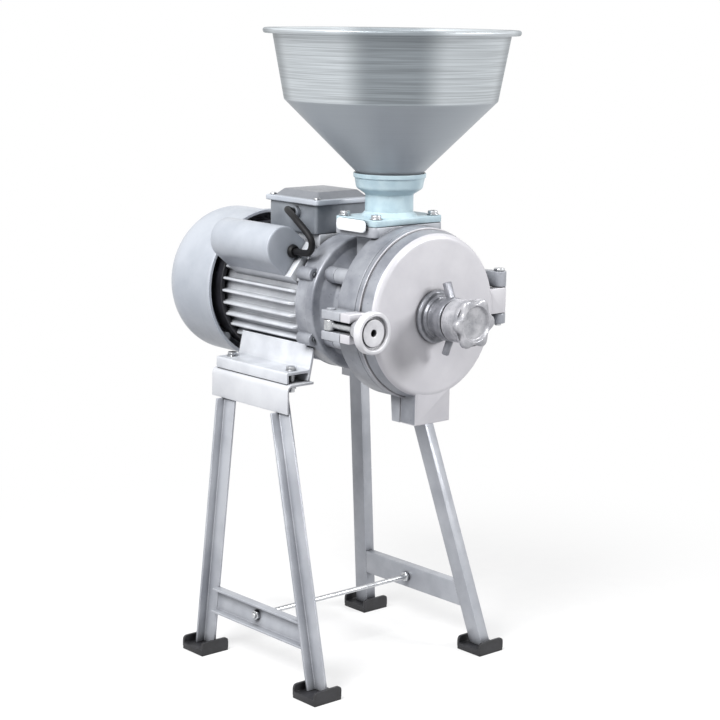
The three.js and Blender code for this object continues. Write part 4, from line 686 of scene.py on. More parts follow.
def make_motor_foot(side, sign):
    low, high = span(f"motor_foot_{side}")
    outer = reach_of(f"motor_foot_{side}")[1]
    shelf = low.z + FOOT_PLATE
    under = shelf - FOOT_SHEET
    peak = high.z + FOOT_RISE
    lean = (FOOT_WEB_LOW_X - FOOT_WEB_TOP_X) / (peak - low.z)
    web = [FOOT_WEB_LOW_X - lean * (height - low.z) for height in (low.z, under, shelf, peak)]
    section = [
        (outer, low.z), (outer, shelf), (web[2] + FOOT_WEB, shelf), (web[3] + FOOT_WEB, peak), (web[3], peak),
        (web[0], low.z), (web[0] + FOOT_WEB, low.z), (web[1] + FOOT_WEB, under),
        (outer - FOOT_SHEET, under), (outer - FOOT_SHEET, low.z),
    ]
    outline = [(sign * x, z) for x, z in rounded(section, [0, 2.5, 4, 0, 0, 0, 0, 1.5, 1.0, 0], 4)]
    piece = softened(pushed(f"{side}_motor_foot", outline, "Y", low.y, high.y), 0.6)
    front = low.y - FOOT_PAST
    housing = rod("housing", FOOT_BORE, "Y", SHAFT, front, high.y + FOOT_PAST, steps=FINE_STEPS)
    collar = rod("collar", FOOT_COLLAR_BORE, "Y", SHAFT, front, span("front_shield")[1].y + GAP, steps=FINE_STEPS)
    centres = [middle(f"foot_bolt_{side}_{index}") for index in (1, 2)]
    holes = [rod("hole", BOLT_RADIUS + 0.5, "Z", centre, low.z - 2, shelf + PAST) for centre in centres]
    return dress(carved(piece, housing, collar, *holes), "motor_paint", frame_silver, f"motor_foot_{side}")


def make_foot_bolt(side, index):
    low, high = span(f"foot_bolt_{side}_{index}")
    centre = middle(f"foot_bolt_{side}_{index}")
    under = high.z - BOLT_HEAD_THICK
    piece = rod("bolt", BOLT_RADIUS, "Z", centre, low.z, high.z - 1)
    washer = rod("washer", BOLT_HEAD + 0.2, "Z", centre, under, under + 1.0, 0.3)
    head = hex_head("head", BOLT_HEAD - 0.4, "Z", centre, under + 0.9, high.z, turn=0.4 * index)
    nut_low = low.z + BOLT_RADIUS
    nut = hex_head("nut", BOLT_HEAD - 0.4, "Z", centre, nut_low, nut_low + BOLT_HEAD_THICK)
    piece.name = f"{side}_foot_bolt_{index}"
    return dress(joined(piece, washer, head, nut), "zinc", zinc, f"foot_bolt_{side}_{index}")


for side, sign in SIDES.items():
    make_motor_foot(side, sign)
    for index in (1, 2):
        make_foot_bolt(side, index)
print("with motor feet", len(DRESSED))


# %% [markdown]
# ## Motor frame and shields
# The frame is one extrusion: thin fins every eleven degrees with flat valleys between them. At the front the fins
# run out into a plain collar. The solid is skinned through copies of one outline whose distance from the shaft is
# limited more and more towards the front, so that every fin keeps its width while it loses its height.

# %% Motor frame
STATOR_LOW, STATOR_HIGH = span("stator_frame")
FIN_COUNT = 32
FIN_ROOT = 70.0
FIN_TIP = 79.0
FIN_PROFILE = [(FIN_ROOT, -0.17, 1.2), (FIN_TIP, -0.095, 1.3), (FIN_TIP, 0.095, 1.3), (FIN_ROOT, 0.17, 1.2)]
VALLEY_SHARES = (0.34, 0.5, 0.66)
FRAME_BORE = 66.5
COLLAR_RADIUS = 74.0
COLLAR_DEPTH = 8.0
FIN_TAPER = 7.0
TAPER_STEPS = 6
CAPACITOR_TILT = math.radians(-51)
CAPACITOR_HALF = 25.0
CAPACITOR_PAD = 82.0
SEAT_LOWEST = 55.0
PAD_HALF = 38.0
PAD_LOW = 60.0
PAD_TOP = 79.5
CAP_LOW, CAP_HIGH = span("capacitor_cover")
CAP_FRONT = CAP_LOW.y + 8
CAP_BACK = CAP_HIGH.y + 15
CAP_FOOT = CAPACITOR_PAD + GAP


def fin_outline():
    step = 2 * math.pi / FIN_COUNT
    corners, radii = [], []
    profile = FIN_PROFILE + [(FIN_ROOT, share, 0) for share in VALLEY_SHARES]
    for fin in range(FIN_COUNT):
        for radius, share, corner in profile:
            angle = (fin + share) * step
            corners.append((radius * math.cos(angle), radius * math.sin(angle)))
            radii.append(corner)
    return rounded_all(corners, radii)


def frame_loop(outline, station, low, high):
    """The outline at a station, with its distance from the shaft kept between low and high."""
    loop = []
    for x, z in outline:
        radius = math.hypot(x, z)
        share = min(max(radius, low), high) / radius
        loop.append((x * share, station, SHAFT_Z + z * share))
    return loop


def make_motor_frame():
    front, back = STATOR_LOW.y, STATOR_HIGH.y
    outline = fin_outline()
    flat = FIN_ROOT + 0.2
    behind = front + COLLAR_DEPTH
    collar = [(front, COLLAR_RADIUS - 0.7), (front + 0.7, COLLAR_RADIUS), (behind - 0.5, COLLAR_RADIUS)]
    collar.append((behind, COLLAR_RADIUS - 0.5))
    stations = [(at, radius, radius) for at, radius in collar] + [(behind + 0.1, FIN_ROOT, flat)]
    for step in range(1, TAPER_STEPS + 1):
        share = step / TAPER_STEPS
        stations.append((behind + FIN_TAPER * share, FIN_ROOT, flat + (FIN_TIP - flat) * share**0.8))
    stations += [(back - 1, FIN_ROOT, FIN_TIP), (back, FIN_ROOT - 0.5, FIN_TIP - 0.8)]
    piece = skinned("motor_frame", [frame_loop(outline, *station) for station in stations], False)
    box_low, box_high = span("terminal_box")
    pad = slab("pad", (-PAD_HALF, box_low.y, SHAFT_Z + PAD_LOW), (PAD_HALF, box_high.y, SHAFT_Z + PAD_TOP), 1.0)
    seat = slab("seat", (-CAPACITOR_HALF, CAP_FRONT - 9, SEAT_LOWEST), (CAPACITOR_HALF, CAP_BACK, CAPACITOR_PAD), 1.0)
    seat = swung(seat, CAPACITOR_TILT)
    bore = rod("bore", FRAME_BORE, "Y", SHAFT, front - 5, back + 5, steps=TURN_STEPS)
    piece = carved(joined(piece, pad, seat), bore)
    return dress(piece, "motor_paint", frame_silver, "stator_frame")


make_motor_frame()
print("fins", FIN_COUNT)


# %% [markdown]
# The front shield is a cast dish with a bright band round its rim, four screw lugs and four pads where the mill
# is bolted on. The rear shield is only seen as a black gap between the fins and the fan cover, so it's painted
# black as painted shade. The fan cover is pressed sheet: a short tube that curves into a domed back with a ring of
# slots.

# %% Shields and fan cover
SHIELD_LOW, SHIELD_HIGH = span("front_shield")
SHIELD_RADIUS = 81.0
SHIELD_RIM = 30.0
SHIELD_WALL = 6.0
LUG_ANGLE = math.radians(28)
LUG_RADIUS = 8.0
LUG_X, LUG_Z = SHIELD_RADIUS * math.cos(LUG_ANGLE), SHIELD_RADIUS * math.sin(LUG_ANGLE)
LUG_SPOTS = [(across * LUG_X, SHAFT_Z + up * LUG_Z) for across in (1, -1) for up in (1, -1)]
MILL_BOSSES = [(x, z) for x in (52, -52) for z in (38, -38)]
BOSS_RADIUS = 9.5
SEAL_RADIUS = 14.0
HUB_RADIUS, HUB_BORE = 32.0, 26.3
FAN_OVERLAP = 6.0
FAN_DOME = 40.0
FAN_RADIUS = 92.0
FAN_FLAT = 45.0
FAN_SHEET = 1.6
FAN_BEAD = [(0, 6.5), (0.6, 5.6), (2, 5.4), (2.5, 4.6), (2.5, 1), (2, 0)]
BOWL_STEPS = 20
FAN_SLOTS = 12
SLOT_FROM, SLOT_TO, SLOT_HALF = 18.0, 50.0, 2.5
FAN_POSTS = 4
POST_REACH = 86.3


def make_front_shield():
    front, back = SHIELD_LOW.y, SHIELD_HIGH.y
    rim = back - SHIELD_RIM
    lug, wall_back, hub_back = rim + SHIELD_WALL, front + SHIELD_WALL, front + 21
    inner, groove = SHIELD_RADIUS - SHIELD_WALL, SHIELD_RADIUS - 0.8
    corners = [
        (SEAL_RADIUS, front), (48, front), (54, (front + rim) / 2), (69, rim), (SHIELD_RADIUS, rim),
        (SHIELD_RADIUS, rim + 12), (groove, rim + 12.5), (groove, back - 1.5), (SHIELD_RADIUS, back - 1),
        (SHIELD_RADIUS, back), (inner, back), (inner, lug), (70, lug), (48, front + 12), (HUB_RADIUS, front + 12),
        (HUB_RADIUS, hub_back), (HUB_BORE, hub_back), (HUB_BORE, wall_back), (SEAL_RADIUS, wall_back),
    ]
    radii = [0.5, 3, 5, 5, 3.5, 0.3, 0.3, 0.3, 0.3, 0.5, 0.5, 1, 1, 3, 2, 1, 0.5, 0.5, 0.5]
    piece = turned("motor_front_shield", rounded(corners, radii, 5), "Y", SHAFT)
    inside = rod("inside", inner, "Y", SHAFT, lug, back + PAST, steps=TURN_STEPS)
    lugs = carved(joined(*[rod("lug", LUG_RADIUS, "Y", spot, lug, back, 1.2) for spot in LUG_SPOTS]), inside)
    pads = [rod("pad", BOSS_RADIUS, "Y", (x, SHAFT_Z + z), front, rim + 3, 0.8) for x, z in MILL_BOSSES]
    screws = [hex_head("screw", 3.5, "Y", spot, lug - 2.5, lug + 1) for spot in LUG_SPOTS]
    dress(joined(piece, lugs, *pads), "motor_paint", shield_silver, "front_shield")
    screw_set = joined(*screws)
    screw_set.name = "shield_screws"
    return dress(screw_set, "motor_paint", grey_iron)


def make_rear_shield():
    low, high = span("rear_shield")
    inner, floor, hub_front = SHIELD_RADIUS - SHIELD_WALL, high.y - SHIELD_WALL, low.y - 7.3
    corners = [
        (SEAL_RADIUS, high.y), (SHIELD_RADIUS, high.y), (SHIELD_RADIUS, low.y), (inner, low.y), (inner, floor),
        (HUB_RADIUS, floor), (HUB_RADIUS, hub_front), (HUB_BORE, hub_front), (HUB_BORE, floor), (SEAL_RADIUS, floor),
    ]
    piece = turned("motor_rear_shield", rounded(corners, 0.8), "Y", SHAFT)
    return dress(piece, "motor_paint", rear_shield_shade, "rear_shield")


def bowl(inset, low, high):
    """A quarter of an ellipse, from the straight tube at low to the flat back at high."""
    turns = [math.pi / 2 * step / BOWL_STEPS for step in range(BOWL_STEPS + 1)]
    reach = FAN_RADIUS - FAN_FLAT
    depth = high - low - inset
    return [(FAN_FLAT - inset + reach * math.cos(turn), low + depth * math.sin(turn)) for turn in turns]


def make_fan_cover():
    low, high = span("fan_cover")[0].y - FAN_OVERLAP, span("fan_cover")[1].y
    straight = high - FAN_DOME
    outline = [(0, high)] + bowl(0, straight, high)[::-1]
    outline += [(FAN_RADIUS + out, low + at) for out, at in FAN_BEAD]
    outline += [(FAN_RADIUS - FAN_SHEET, low)] + bowl(FAN_SHEET, straight, high) + [(0, high - FAN_SHEET)]
    piece = turned("fan_cover_bowl", outline, "Y", SHAFT, FINE_STEPS)
    slots = []
    for index in range(FAN_SLOTS):
        slot = slab("slot", (SLOT_FROM, high - PAST, -SLOT_HALF), (SLOT_TO, high + PAST, SLOT_HALF))
        slots.append(swung(slot, 2 * math.pi * index / FAN_SLOTS))
    piece = carved(piece, *slots)
    posts = []
    for index in range(FAN_POSTS):
        angle = (2 * index + 1) * math.pi / FAN_POSTS
        spot = (POST_REACH * math.cos(angle), SHAFT_Z + POST_REACH * math.sin(angle))
        posts.append(rod("post", 5, "Y", spot, low + 6, low + 16))
    return dress(joined(piece, *posts), "motor_paint", cover_silver, "fan_cover")


make_front_shield()
make_rear_shield()
make_fan_cover()
print("with shields", len(DRESSED))


# %% [markdown]
# ## Terminal box and capacitor
# On top sits a cast box with a raised lid. The lid is skinned through four rounded rectangles: a flat flange, then
# a sloping border up to a plateau. The capacitor's cover is D-shaped, with its rims rounded, and a rubber lead
# loops from the side of the box into its front.

# %% Terminal box
BOX_LOW, BOX_HIGH = span("terminal_box")
LID_LOW, LID_HIGH = span("terminal_lid")
BOX_WALL = 3.0
BOX_CORNER = 5.0
LID_CORNER = 6.0
LID_FLANGE = 6.0
SCREW_INSET = 8.0
SLEEVE_RADIUS, SLEEVE_BORE = 7.0, 4.3
SLEEVE_REACH = 6.0
GLAND_BORE = 4.5
LEAD_Y = BOX_LOW.y + 35
LEAD_Z = BOX_LOW.z + 24
GLAND_Z = BOX_LOW.z + 16
BOX_HALF = BOX_HIGH.x


def box_loops(low, high, corner, rims, least=3.5):
    """Rounded rectangles to skin a box with. Each rim is an inset from the box's sides, and a height."""
    loops = []
    for inset, height in rims:
        corners = rectangle((inset - high.x, low.y + inset), (high.x - inset, high.y - inset))
        outline = rounded_all(corners, [max(corner - inset, least)] * 4, 5)
        loops.append([(x, y, height) for x, y in outline])
    return loops


def make_terminal_box():
    low, top = BOX_LOW.z, BOX_HIGH.z
    rims = [(1.2, low), (0.3, low + 0.4), (0.0, low + 1.4), (0.0, top)]
    piece = skinned("terminal_box_shell", box_loops(BOX_LOW, BOX_HIGH, BOX_CORNER, rims), False)
    lead, gland = (LEAD_Y, LEAD_Z), (middle("terminal_box", "y")[0], GLAND_Z)
    sleeve = rod("sleeve", SLEEVE_RADIUS, "X", lead, -BOX_HALF - SLEEVE_REACH, -BOX_HALF + 1.5, 1.0)
    room = [(BOX_WALL, low + BOX_WALL), (BOX_WALL, top + PAST)]
    hollow = skinned("hollow", box_loops(BOX_LOW, BOX_HIGH, BOX_WALL, room, BOX_WALL), False)
    lead_hole = rod("lead_hole", SLEEVE_BORE, "X", lead, -BOX_HALF - 8, -BOX_HALF + 8)
    gland_hole = rod("gland_hole", 7, "X", gland, BOX_HALF - 8, BOX_HALF + PAST)
    piece = carved(joined(piece, sleeve), hollow, lead_hole, gland_hole)
    return dress(piece, "motor_paint", box_silver, "terminal_box")


def make_lid():
    low, top = LID_LOW.z, LID_HIGH.z
    flange = low + LID_FLANGE
    rims = [
        (0.8, low), (0, low + 0.8), (0, flange - 1.2), (0.4, flange - 0.3), (1.2, flange), (8.2, flange),
        (9.0, flange + 0.3), (16.2, top - 0.5), (17.2, top - 0.1), (18.5, top),
    ]
    piece = skinned("terminal_box_lid", box_loops(LID_LOW, LID_HIGH, LID_CORNER, rims), False)
    dress(piece, "motor_paint", lid_silver, "terminal_lid")
    piece.data.materials.append(cover_silver)
    for face in piece.data.polygons:
        if face.center.z < (flange + 0.1) * MM:
            face.material_index = 1
    heads = []
    for across in (1, -1):
        for y in (LID_LOW.y + SCREW_INSET, LID_HIGH.y - SCREW_INSET):
            x = across * (LID_HIGH.x - SCREW_INSET)
            outline = rounded(rectangle((0, flange - 2), (4, flange + 2.5)), [0, 0, 2.0, 0], 5)
            ways = [
                slab("way", (x - long, y - wide, flange + 1.2), (x + long, y + wide, flange + PAST))
                for long, wide in ((2.6, 0.45), (0.45, 2.6))
            ]
            heads.append(carved(turned("head", outline, "Z", (x, y), 32), *ways))
    screws = joined(*heads)
    screws.name = "lid_screws"
    return dress(screws, "zinc", zinc)


def make_gland():
    low, high = span("cable_gland")
    spot = (middle("cable_gland", "y")[0], GLAND_Z)
    nut = hex_head("cable_gland_body", 12.5, "X", spot, low.x, low.x + 8, edge=0.8)
    outline = [(9.6, low.x), (10, low.x + 9), (10, high.x - 3), (7.5, high.x)]
    outline = [(GLAND_BORE, low.x), *outline, (GLAND_BORE, high.x)]
    cap = turned("cap", rounded(outline, [0, 0, 0.5, 1.5, 0.8, 0.4]), "X", spot, ROD_STEPS)
    hole = rod("hole", GLAND_BORE, "X", spot, low.x - PAST, high.x + PAST)
    return dress(carved(joined(nut, cap), hole), "black_plastic", plastic_black, "cable_gland")


make_terminal_box()
make_lid()
make_gland()
print("with terminal box", len(DRESSED))

# %% [markdown]
# The capacitor's cover leans to the photograph's side. It and its parts are made upright over the shaft and swung
# into place together. The lead's points are given from the machine's own origin, which the frame has moved.

# %% Capacitor cover and lead
CAP_HEIGHT = 48.0
CAP_SHEET = 2.0
CAP_RIMS = [(2.6, 0.0), (1.2, 0.25), (0.4, 0.9), (0.0, 2.2)]
CAN_RADIUS = 17.0
GROMMET = (4.0, CAP_FOOT + 9.5)
GROMMET_DEPTH = 5.0
LEAD_RADIUS = 4.0
LEAD_CURVE = [(-62, 41, 4), (-75, 9, -4), (-75, -18, -24), (-70, -9, -41)]
MACHINE_SHIFT = HOPPER_Y + 69
ARC_STEPS = 24


def d_section(inset, station, foot):
    """The cover's outline: two straight sides under a half circle."""
    half = CAPACITOR_HALF - inset
    shoulder = CAP_FOOT + CAP_HEIGHT - CAPACITOR_HALF
    turns = [math.pi * step / ARC_STEPS for step in range(ARC_STEPS + 1)]
    arc = [(half * math.cos(turn), station, shoulder + half * math.sin(turn)) for turn in turns]
    return [(half, station, foot), *arc, (-half, station, foot)]


def make_capacitor_cover():
    stations = [(inset, CAP_FRONT + step) for inset, step in CAP_RIMS]
    stations += [(inset, CAP_BACK - step) for inset, step in CAP_RIMS[::-1]]
    shell = skinned("capacitor_housing", [d_section(inset, at, CAP_FOOT) for inset, at in stations], False)
    ends = (CAP_FRONT + CAP_SHEET, CAP_BACK - CAP_SHEET)
    hollow = skinned("hollow", [d_section(CAP_SHEET, at, CAP_FOOT - PAST) for at in ends], False)
    hole = rod("hole", LEAD_RADIUS + 0.5, "Y", GROMMET, CAP_FRONT - PAST, ends[0] + PAST)
    piece = swung(carved(shell, hollow, hole), CAPACITOR_TILT)
    return dress(piece, "motor_paint", cover_silver, "capacitor_cover")


def make_grommet():
    front = CAP_FRONT - GAP
    outline = [
        (SLEEVE_BORE, front - GROMMET_DEPTH), (6.6, front - GROMMET_DEPTH), (8, front - 1.6), (8, front),
        (SLEEVE_BORE, front),
    ]
    piece = turned("lead_sleeve", rounded(outline, [0.5, 1.2, 0.8, 0.3, 0]), "Y", GROMMET, 40)
    return dress(swung(piece, CAPACITOR_TILT), "black_rubber", rubber_black, "lead_grommet")


def swept(name, route, radius, sides=20):
    """A round bar through a list of points, whose section is carried along without twisting."""
    loops = []
    side = Vector((0, 0, 1)).cross(route[1] - route[0]).normalized()
    for index, spot in enumerate(route):
        ahead = (route[min(index + 1, len(route) - 1)] - route[max(index - 1, 0)]).normalized()
        side = (side - ahead * side.dot(ahead)).normalized()
        other = ahead.cross(side)
        angles = [2 * math.pi * step / sides for step in range(sides)]
        loops.append([spot + radius * (math.cos(a) * side + math.sin(a) * other) for a in angles])
    return skinned(name, loops, False)


def smooth_route(points, steps=10):
    """A smooth curve that passes through every point."""
    points = [2 * points[0] - points[1], *points, 2 * points[-1] - points[-2]]
    route = []
    for a, b, c, d in zip(points, points[1:], points[2:], points[3:]):
        for step in range(steps):
            t = step / steps
            curve = (2 * a - 5 * b + 4 * c - d) * t**2 + (3 * b - a - 3 * c + d) * t**3
            route.append(0.5 * (2 * b + (c - a) * t + curve))
    return route + [points[-2]]


def make_lead():
    cosine, sine = math.cos(CAPACITOR_TILT), math.sin(CAPACITOR_TILT)
    end_x = GROMMET[0] * cosine + GROMMET[1] * sine
    end_z = SHAFT_Z - GROMMET[0] * sine + GROMMET[1] * cosine
    points = [(-BOX_HALF, LEAD_Y, LEAD_Z), (-BOX_HALF - SLEEVE_REACH, LEAD_Y, LEAD_Z)]
    points += [(x, y + MACHINE_SHIFT, LEAD_Z + rise) for x, y, rise in LEAD_CURVE]
    points += [(end_x, CAP_FRONT - GAP - GROMMET_DEPTH, end_z), (end_x, CAP_FRONT + CAP_SHEET, end_z)]
    piece = swept("jumper_lead", smooth_route([Vector(point) for point in points]), LEAD_RADIUS)
    return dress(piece, "black_rubber", rubber_black, "capacitor_lead")


def make_capacitor():
    can = rod("capacitor_can", CAN_RADIUS, "Y", (0, CAP_FOOT + 22), CAP_FRONT + 9, CAP_BACK - 14, 1.5)
    return dress(swung(can, CAPACITOR_TILT), "capacitor_case", case_white, "capacitor")


make_capacitor_cover()
make_capacitor()
make_grommet()
make_lead()
print("with capacitor", len(DRESSED))

# %% [markdown]
# The pieces held inside the motor and the head stay as the CAD made them, and only get a better finish.

# %% Pieces that keep their CAD shape
REPAINTED = [
    (copper, ["stator_pack"]),
    (zinc, ["front_bearing", "rear_bearing"]),
    (turned_steel, ["main_shaft"]),
    (grey_iron, ["rotor_core", "auger", "disc_carrier", "rotating_disc", "fixed_disc", "disc_plate"]),
    (plastic_black, ["cooling_fan", "terminal_block"]),
    (rubber_black, ["shaft_seal"]),
]
for material, nodes in REPAINTED:
    repaint(material, *nodes)
print("repainted nodes", sum(len(nodes) for material, nodes in REPAINTED))


# %% [markdown]
# ## Mill head
# The head is one casting: a deep ring, a cone, a neck, and a square throat that rises to the hopper's flange. It
# is turned and pushed from outlines, joined, and hollowed by the same cuts that a core would leave in the mould.
# The turned rims on both sides of the parting line are painted a darker silver where they look away from the
# shaft: painted shade, as in the photograph.

# %% Mill body
DOOR_DEPTH = 27.0
PARTING = DOOR_LOW.y + DOOR_DEPTH + GAP
RING_FRONT = PARTING + GAP
RING_BACK = RING_FRONT + 31.7
NECK_FRONT = RING_BACK + 16
NECK_BACK = RING_FRONT + 80
NECK_RADIUS = 44.0
NECK_FLANGE = 50.0
NECK_RIM = NECK_BACK - 7
THROAT_HALF = 30.0
THROAT_BACK = HOPPER_Y + 25
CHAMBER_BACK = RING_FRONT + 24.2
CARRIER_ROOM = 71.0
FEED_RADIUS = 31.0
CARRIER_BACK = RING_BACK - 0.1
FEED_BACK = NECK_BACK - 8
RING_RADIUS = 99.0
RING_INNER = 88.0
RIM_INNER = 93.8
RIM_OUTER = 99.3
THROAT_TOP = SHAFT_Z + 96.3
FLANGE_THICK = 9.0
FLANGE_HALF = (53.0, 35.0)
RUNNER = 3.0
GATE_REACH = 26.5
GATE_SIDE = 20.0
GATE_WAY_END = -57.0
WELL_HALF = (23.0, 18.0)
SPOUT_HALF = 27.0
SPOUT_BOTTOM = SHAFT_Z - 125
SPOUT_WALL = 4.0
SPOUT_DEPTH = 22.0
SPOUT_TAPER = 9.0
SPOUT_TOP = SHAFT_Z - 20
DUCT_TOP = SHAFT_Z - 44
DUCT_STEP = RING_FRONT + 10
DUCT_LOW = SHAFT_Z - 88
CLAMP_X = -112.0
CLAMP_Z = SHAFT_Z - 5
CLAMP_PIVOT = RING_FRONT + 23.45
EAR_END = CLAMP_X - 8
EAR_INNER = 6.8
EAR_THICK = 10.0
EAR_DEPTH = 16.0
PIVOT_RADIUS = 5.0
HINGE_X = 114.0
HINGE_Y = PARTING - 15
KNUCKLE = 8.5
HINGE = (HINGE_X, HINGE_Y)
HINGE_BORE = 4.3
ARM_OUTER = 101.5
HINGE_SPANS = [(SHAFT_Z - 21, SHAFT_Z - 8.7), (SHAFT_Z + 22.7, SHAFT_Z + 41)]
SEAT_BOLTS = [(x, HOPPER_Y + y) for x in (-44, 44) for y in (-27, 27)]
MILL_BOLT_RADIUS = 6.5
BOLT_HOLE = 4.5


def make_casting():
    corners = [
        (RING_INNER, RING_FRONT), (RING_RADIUS, RING_FRONT), (RING_RADIUS, RING_BACK - 2.5), (96, RING_BACK),
        (71.5, RING_BACK + 6.7), (47, NECK_FRONT), (NECK_RADIUS, NECK_FRONT + 3), (NECK_RADIUS, NECK_RIM),
        (NECK_FLANGE, NECK_RIM), (NECK_FLANGE, NECK_BACK), (SEAL_RADIUS, NECK_BACK), (SEAL_RADIUS, FEED_BACK),
        (FEED_RADIUS, FEED_BACK),
        (FEED_RADIUS, CARRIER_BACK), (CARRIER_ROOM, CARRIER_BACK), (CARRIER_ROOM, CHAMBER_BACK),
        (RING_INNER, CHAMBER_BACK),
    ]
    radii = [0.3, 0.9, 1.5, 3, 10, 5, 3, 3, 1.5, 0.6, 0.5, 0.5, 0.5, 1, 1, 0.8, 2]
    return turned("mill_body_casting", rounded(corners, radii, 5), "Y", SHAFT, FINE_STEPS)


def flange_outline():
    half_x, half_y = FLANGE_HALF
    corners = rectangle((-half_x, HOPPER_Y - half_y), (half_x, HOPPER_Y + half_y))
    return rounded_all(corners, [6] * 4, 6)


def make_throat():
    corners = rectangle((-THROAT_HALF, RING_BACK - 3), (THROAT_HALF, THROAT_BACK))
    tower = pushed("tower", rounded_all(corners, [0, 0, 7, 7], 6), "Z", SHAFT_Z + 20, THROAT_TOP - 2)
    flange = pushed("flange", flange_outline(), "Z", THROAT_TOP - FLANGE_THICK, THROAT_TOP + RUNNER)
    return joined(tower, softened(flange, 0.8))


def make_mill_bosses():
    pieces = []
    for x, z in MILL_BOSSES:
        pieces.append(rod("boss", BOSS_RADIUS, "Y", (x, SHAFT_Z + z), NECK_BACK - 27, NECK_BACK, 1.2))
        web = slab("web", (0, NECK_BACK - 22, -4), (math.hypot(x, z), NECK_BACK, 4), 1.0)
        pieces.append(swung(web, math.atan2(-z, x)))
    return joined(*pieces)


def spout_half(name, near, far, taper):
    """One half of the spout, whose far wall leans in by the taper."""
    side = [(near, SPOUT_TOP), (far, SPOUT_TOP), (far - taper, SPOUT_BOTTOM), (near, SPOUT_BOTTOM)]
    return pushed(name, side, "X", -SPOUT_HALF, SPOUT_HALF)


def ear_pair(near, far, end, root=-90.0):
    """Two ears, one above and one below the clamp."""
    ears = []
    for up in (1, -1):
        heights = sorted((CLAMP_Z + up * EAR_INNER, CLAMP_Z + up * (EAR_INNER + EAR_THICK)))
        corners = [(end, near), (root, near), (root, far), (end, far)]
        ears.append(softened(pushed("ear", rounded_all(corners, [1.5, 0, 0, 1.5], 4), "Z", *heights), 0.8, 3))
    return ears


def make_mill_body():
    spots = [(x, SHAFT_Z + z) for x, z in MILL_BOSSES]
    boss_bolts = [hex_head("bolt", MILL_BOLT_RADIUS, "Y", spot, NECK_BACK - 32, NECK_BACK - 26) for spot in spots]
    spout = spout_half("spout", RING_FRONT, RING_FRONT + SPOUT_DEPTH, SPOUT_TAPER)
    piece = joined(make_casting(), make_throat(), make_mill_bosses(), spout)
    well_x, well_y = WELL_HALF
    way_low, way_high = HOPPER_Y - GATE_SIDE - GAP, HOPPER_Y + GATE_SIDE + GAP
    cuts = [
        rod("chamber", RING_INNER, "Y", SHAFT, RING_FRONT - PAST, CHAMBER_BACK, 0, TURN_STEPS),
        rod("carrier_room", CARRIER_ROOM, "Y", SHAFT, CHAMBER_BACK - PAST, CARRIER_BACK, 0, TURN_STEPS),
        rod("tube", FEED_RADIUS, "Y", SHAFT, CARRIER_BACK - PAST, FEED_BACK, 0),
        rod("seal", SEAL_RADIUS, "Y", SHAFT, FEED_BACK - PAST, NECK_BACK + PAST, 0),
        slab("well", (-well_x, HOPPER_Y - well_y, SHAFT_Z), (well_x, HOPPER_Y + well_y, THROAT_TOP + PAST)),
        slab("way", (GATE_WAY_END, way_low, THROAT_TOP), (GATE_REACH + GAP, way_high, THROAT_TOP + 7)),
    ]
    low, front = SPOUT_BOTTOM - PAST, RING_FRONT - PAST
    rear = RING_FRONT + SPOUT_DEPTH - SPOUT_WALL - SPOUT_TAPER
    shape = [(front, DUCT_TOP), (DUCT_STEP, DUCT_TOP), (DUCT_STEP, DUCT_LOW), (rear, low), (front, low)]
    inner = SPOUT_HALF - SPOUT_WALL
    cuts.append(pushed("duct", shape, "X", -inner, inner))
    cuts += [rod("hole", BOLT_HOLE, "Z", spot, THROAT_TOP - 7, THROAT_TOP + 7) for spot in SEAT_BOLTS]
    piece = carved(piece, *cuts)
    pins = []
    for up in (1, -1):
        face = CLAMP_Z + up * (EAR_INNER + EAR_THICK)
        pins.append(rod("pin", PIVOT_RADIUS, "Z", (CLAMP_X, CLAMP_PIVOT), face - 2, face + 2, 0.8))
    piece = joined(piece, *ear_pair(RING_FRONT, CLAMP_PIVOT + 8, EAR_END), *pins, *make_hinge_arms())
    banded(dress(piece, "mill_casting", cast_silver, "mill_body"), rim_shade_silver, RIM_INNER, RIM_OUTER)
    bolts = joined(*boss_bolts)
    bolts.name = "mill_bolts"
    return dress(bolts, "zinc", grey_iron)


def make_hinge_arms():
    rim = RING_FRONT + 0.6
    corners = [
        (RING_INNER, RING_BACK - 3), (ARM_OUTER, RING_BACK - 3), (HINGE_X, RING_FRONT), (HINGE_X + KNUCKLE, HINGE_Y),
        (HINGE_X - KNUCKLE, HINGE_Y), (ARM_OUTER, RING_FRONT - 0.6), (ARM_OUTER, rim),
        (RING_INNER, rim),
    ]
    arms = []
    for low, high in HINGE_SPANS:
        plate = pushed("arm", rounded_all(corners, [0, 4, 6, 0, 0, 0, 0, 0], 4), "Z", low, high)
        arm = joined(softened(plate, 1.0), rod("knuckle", KNUCKLE, "Z", HINGE, low, high, 1.2))
        inside = rod("inside", RING_INNER + 5.5, "Y", SHAFT, RING_FRONT - PAST, RING_BACK, 0, TURN_STEPS)
        arms.append(carved(arm, inside, rod("bore", HINGE_BORE, "Z", HINGE, low - PAST, high + PAST)))
    return arms


def make_hinge_pin():
    low, high = span("hinge_pin")
    head, top, dimple = high.z - 3, high.z, high.z - 1
    corners = [(0, low.z), (4, low.z), (4, head), (6.5, head), (6.5, top), (3, top), (2.6, dimple), (0, dimple)]
    outline = rounded(corners, [0, 1.0, 0, 0.4, 0.9, 0.4, 0, 0])
    piece = turned("hinge_pin_with_head", outline, "Z", HINGE, ROD_STEPS)
    return dress(piece, "zinc", zinc, "hinge_pin")


make_mill_body()
make_hinge_pin()
print("with mill body", len(DRESSED))


# %% [markdown]
# ## Door
# The door is a shallow dish with rounded shoulders, a drafted band and a lip at the parting line, and it is painted
# lighter than the body. It carries the front half of the spout, a pair of ears for the clamp and the middle knuckle
# of the hinge. Inside, two pins keep the fixed disc from turning.

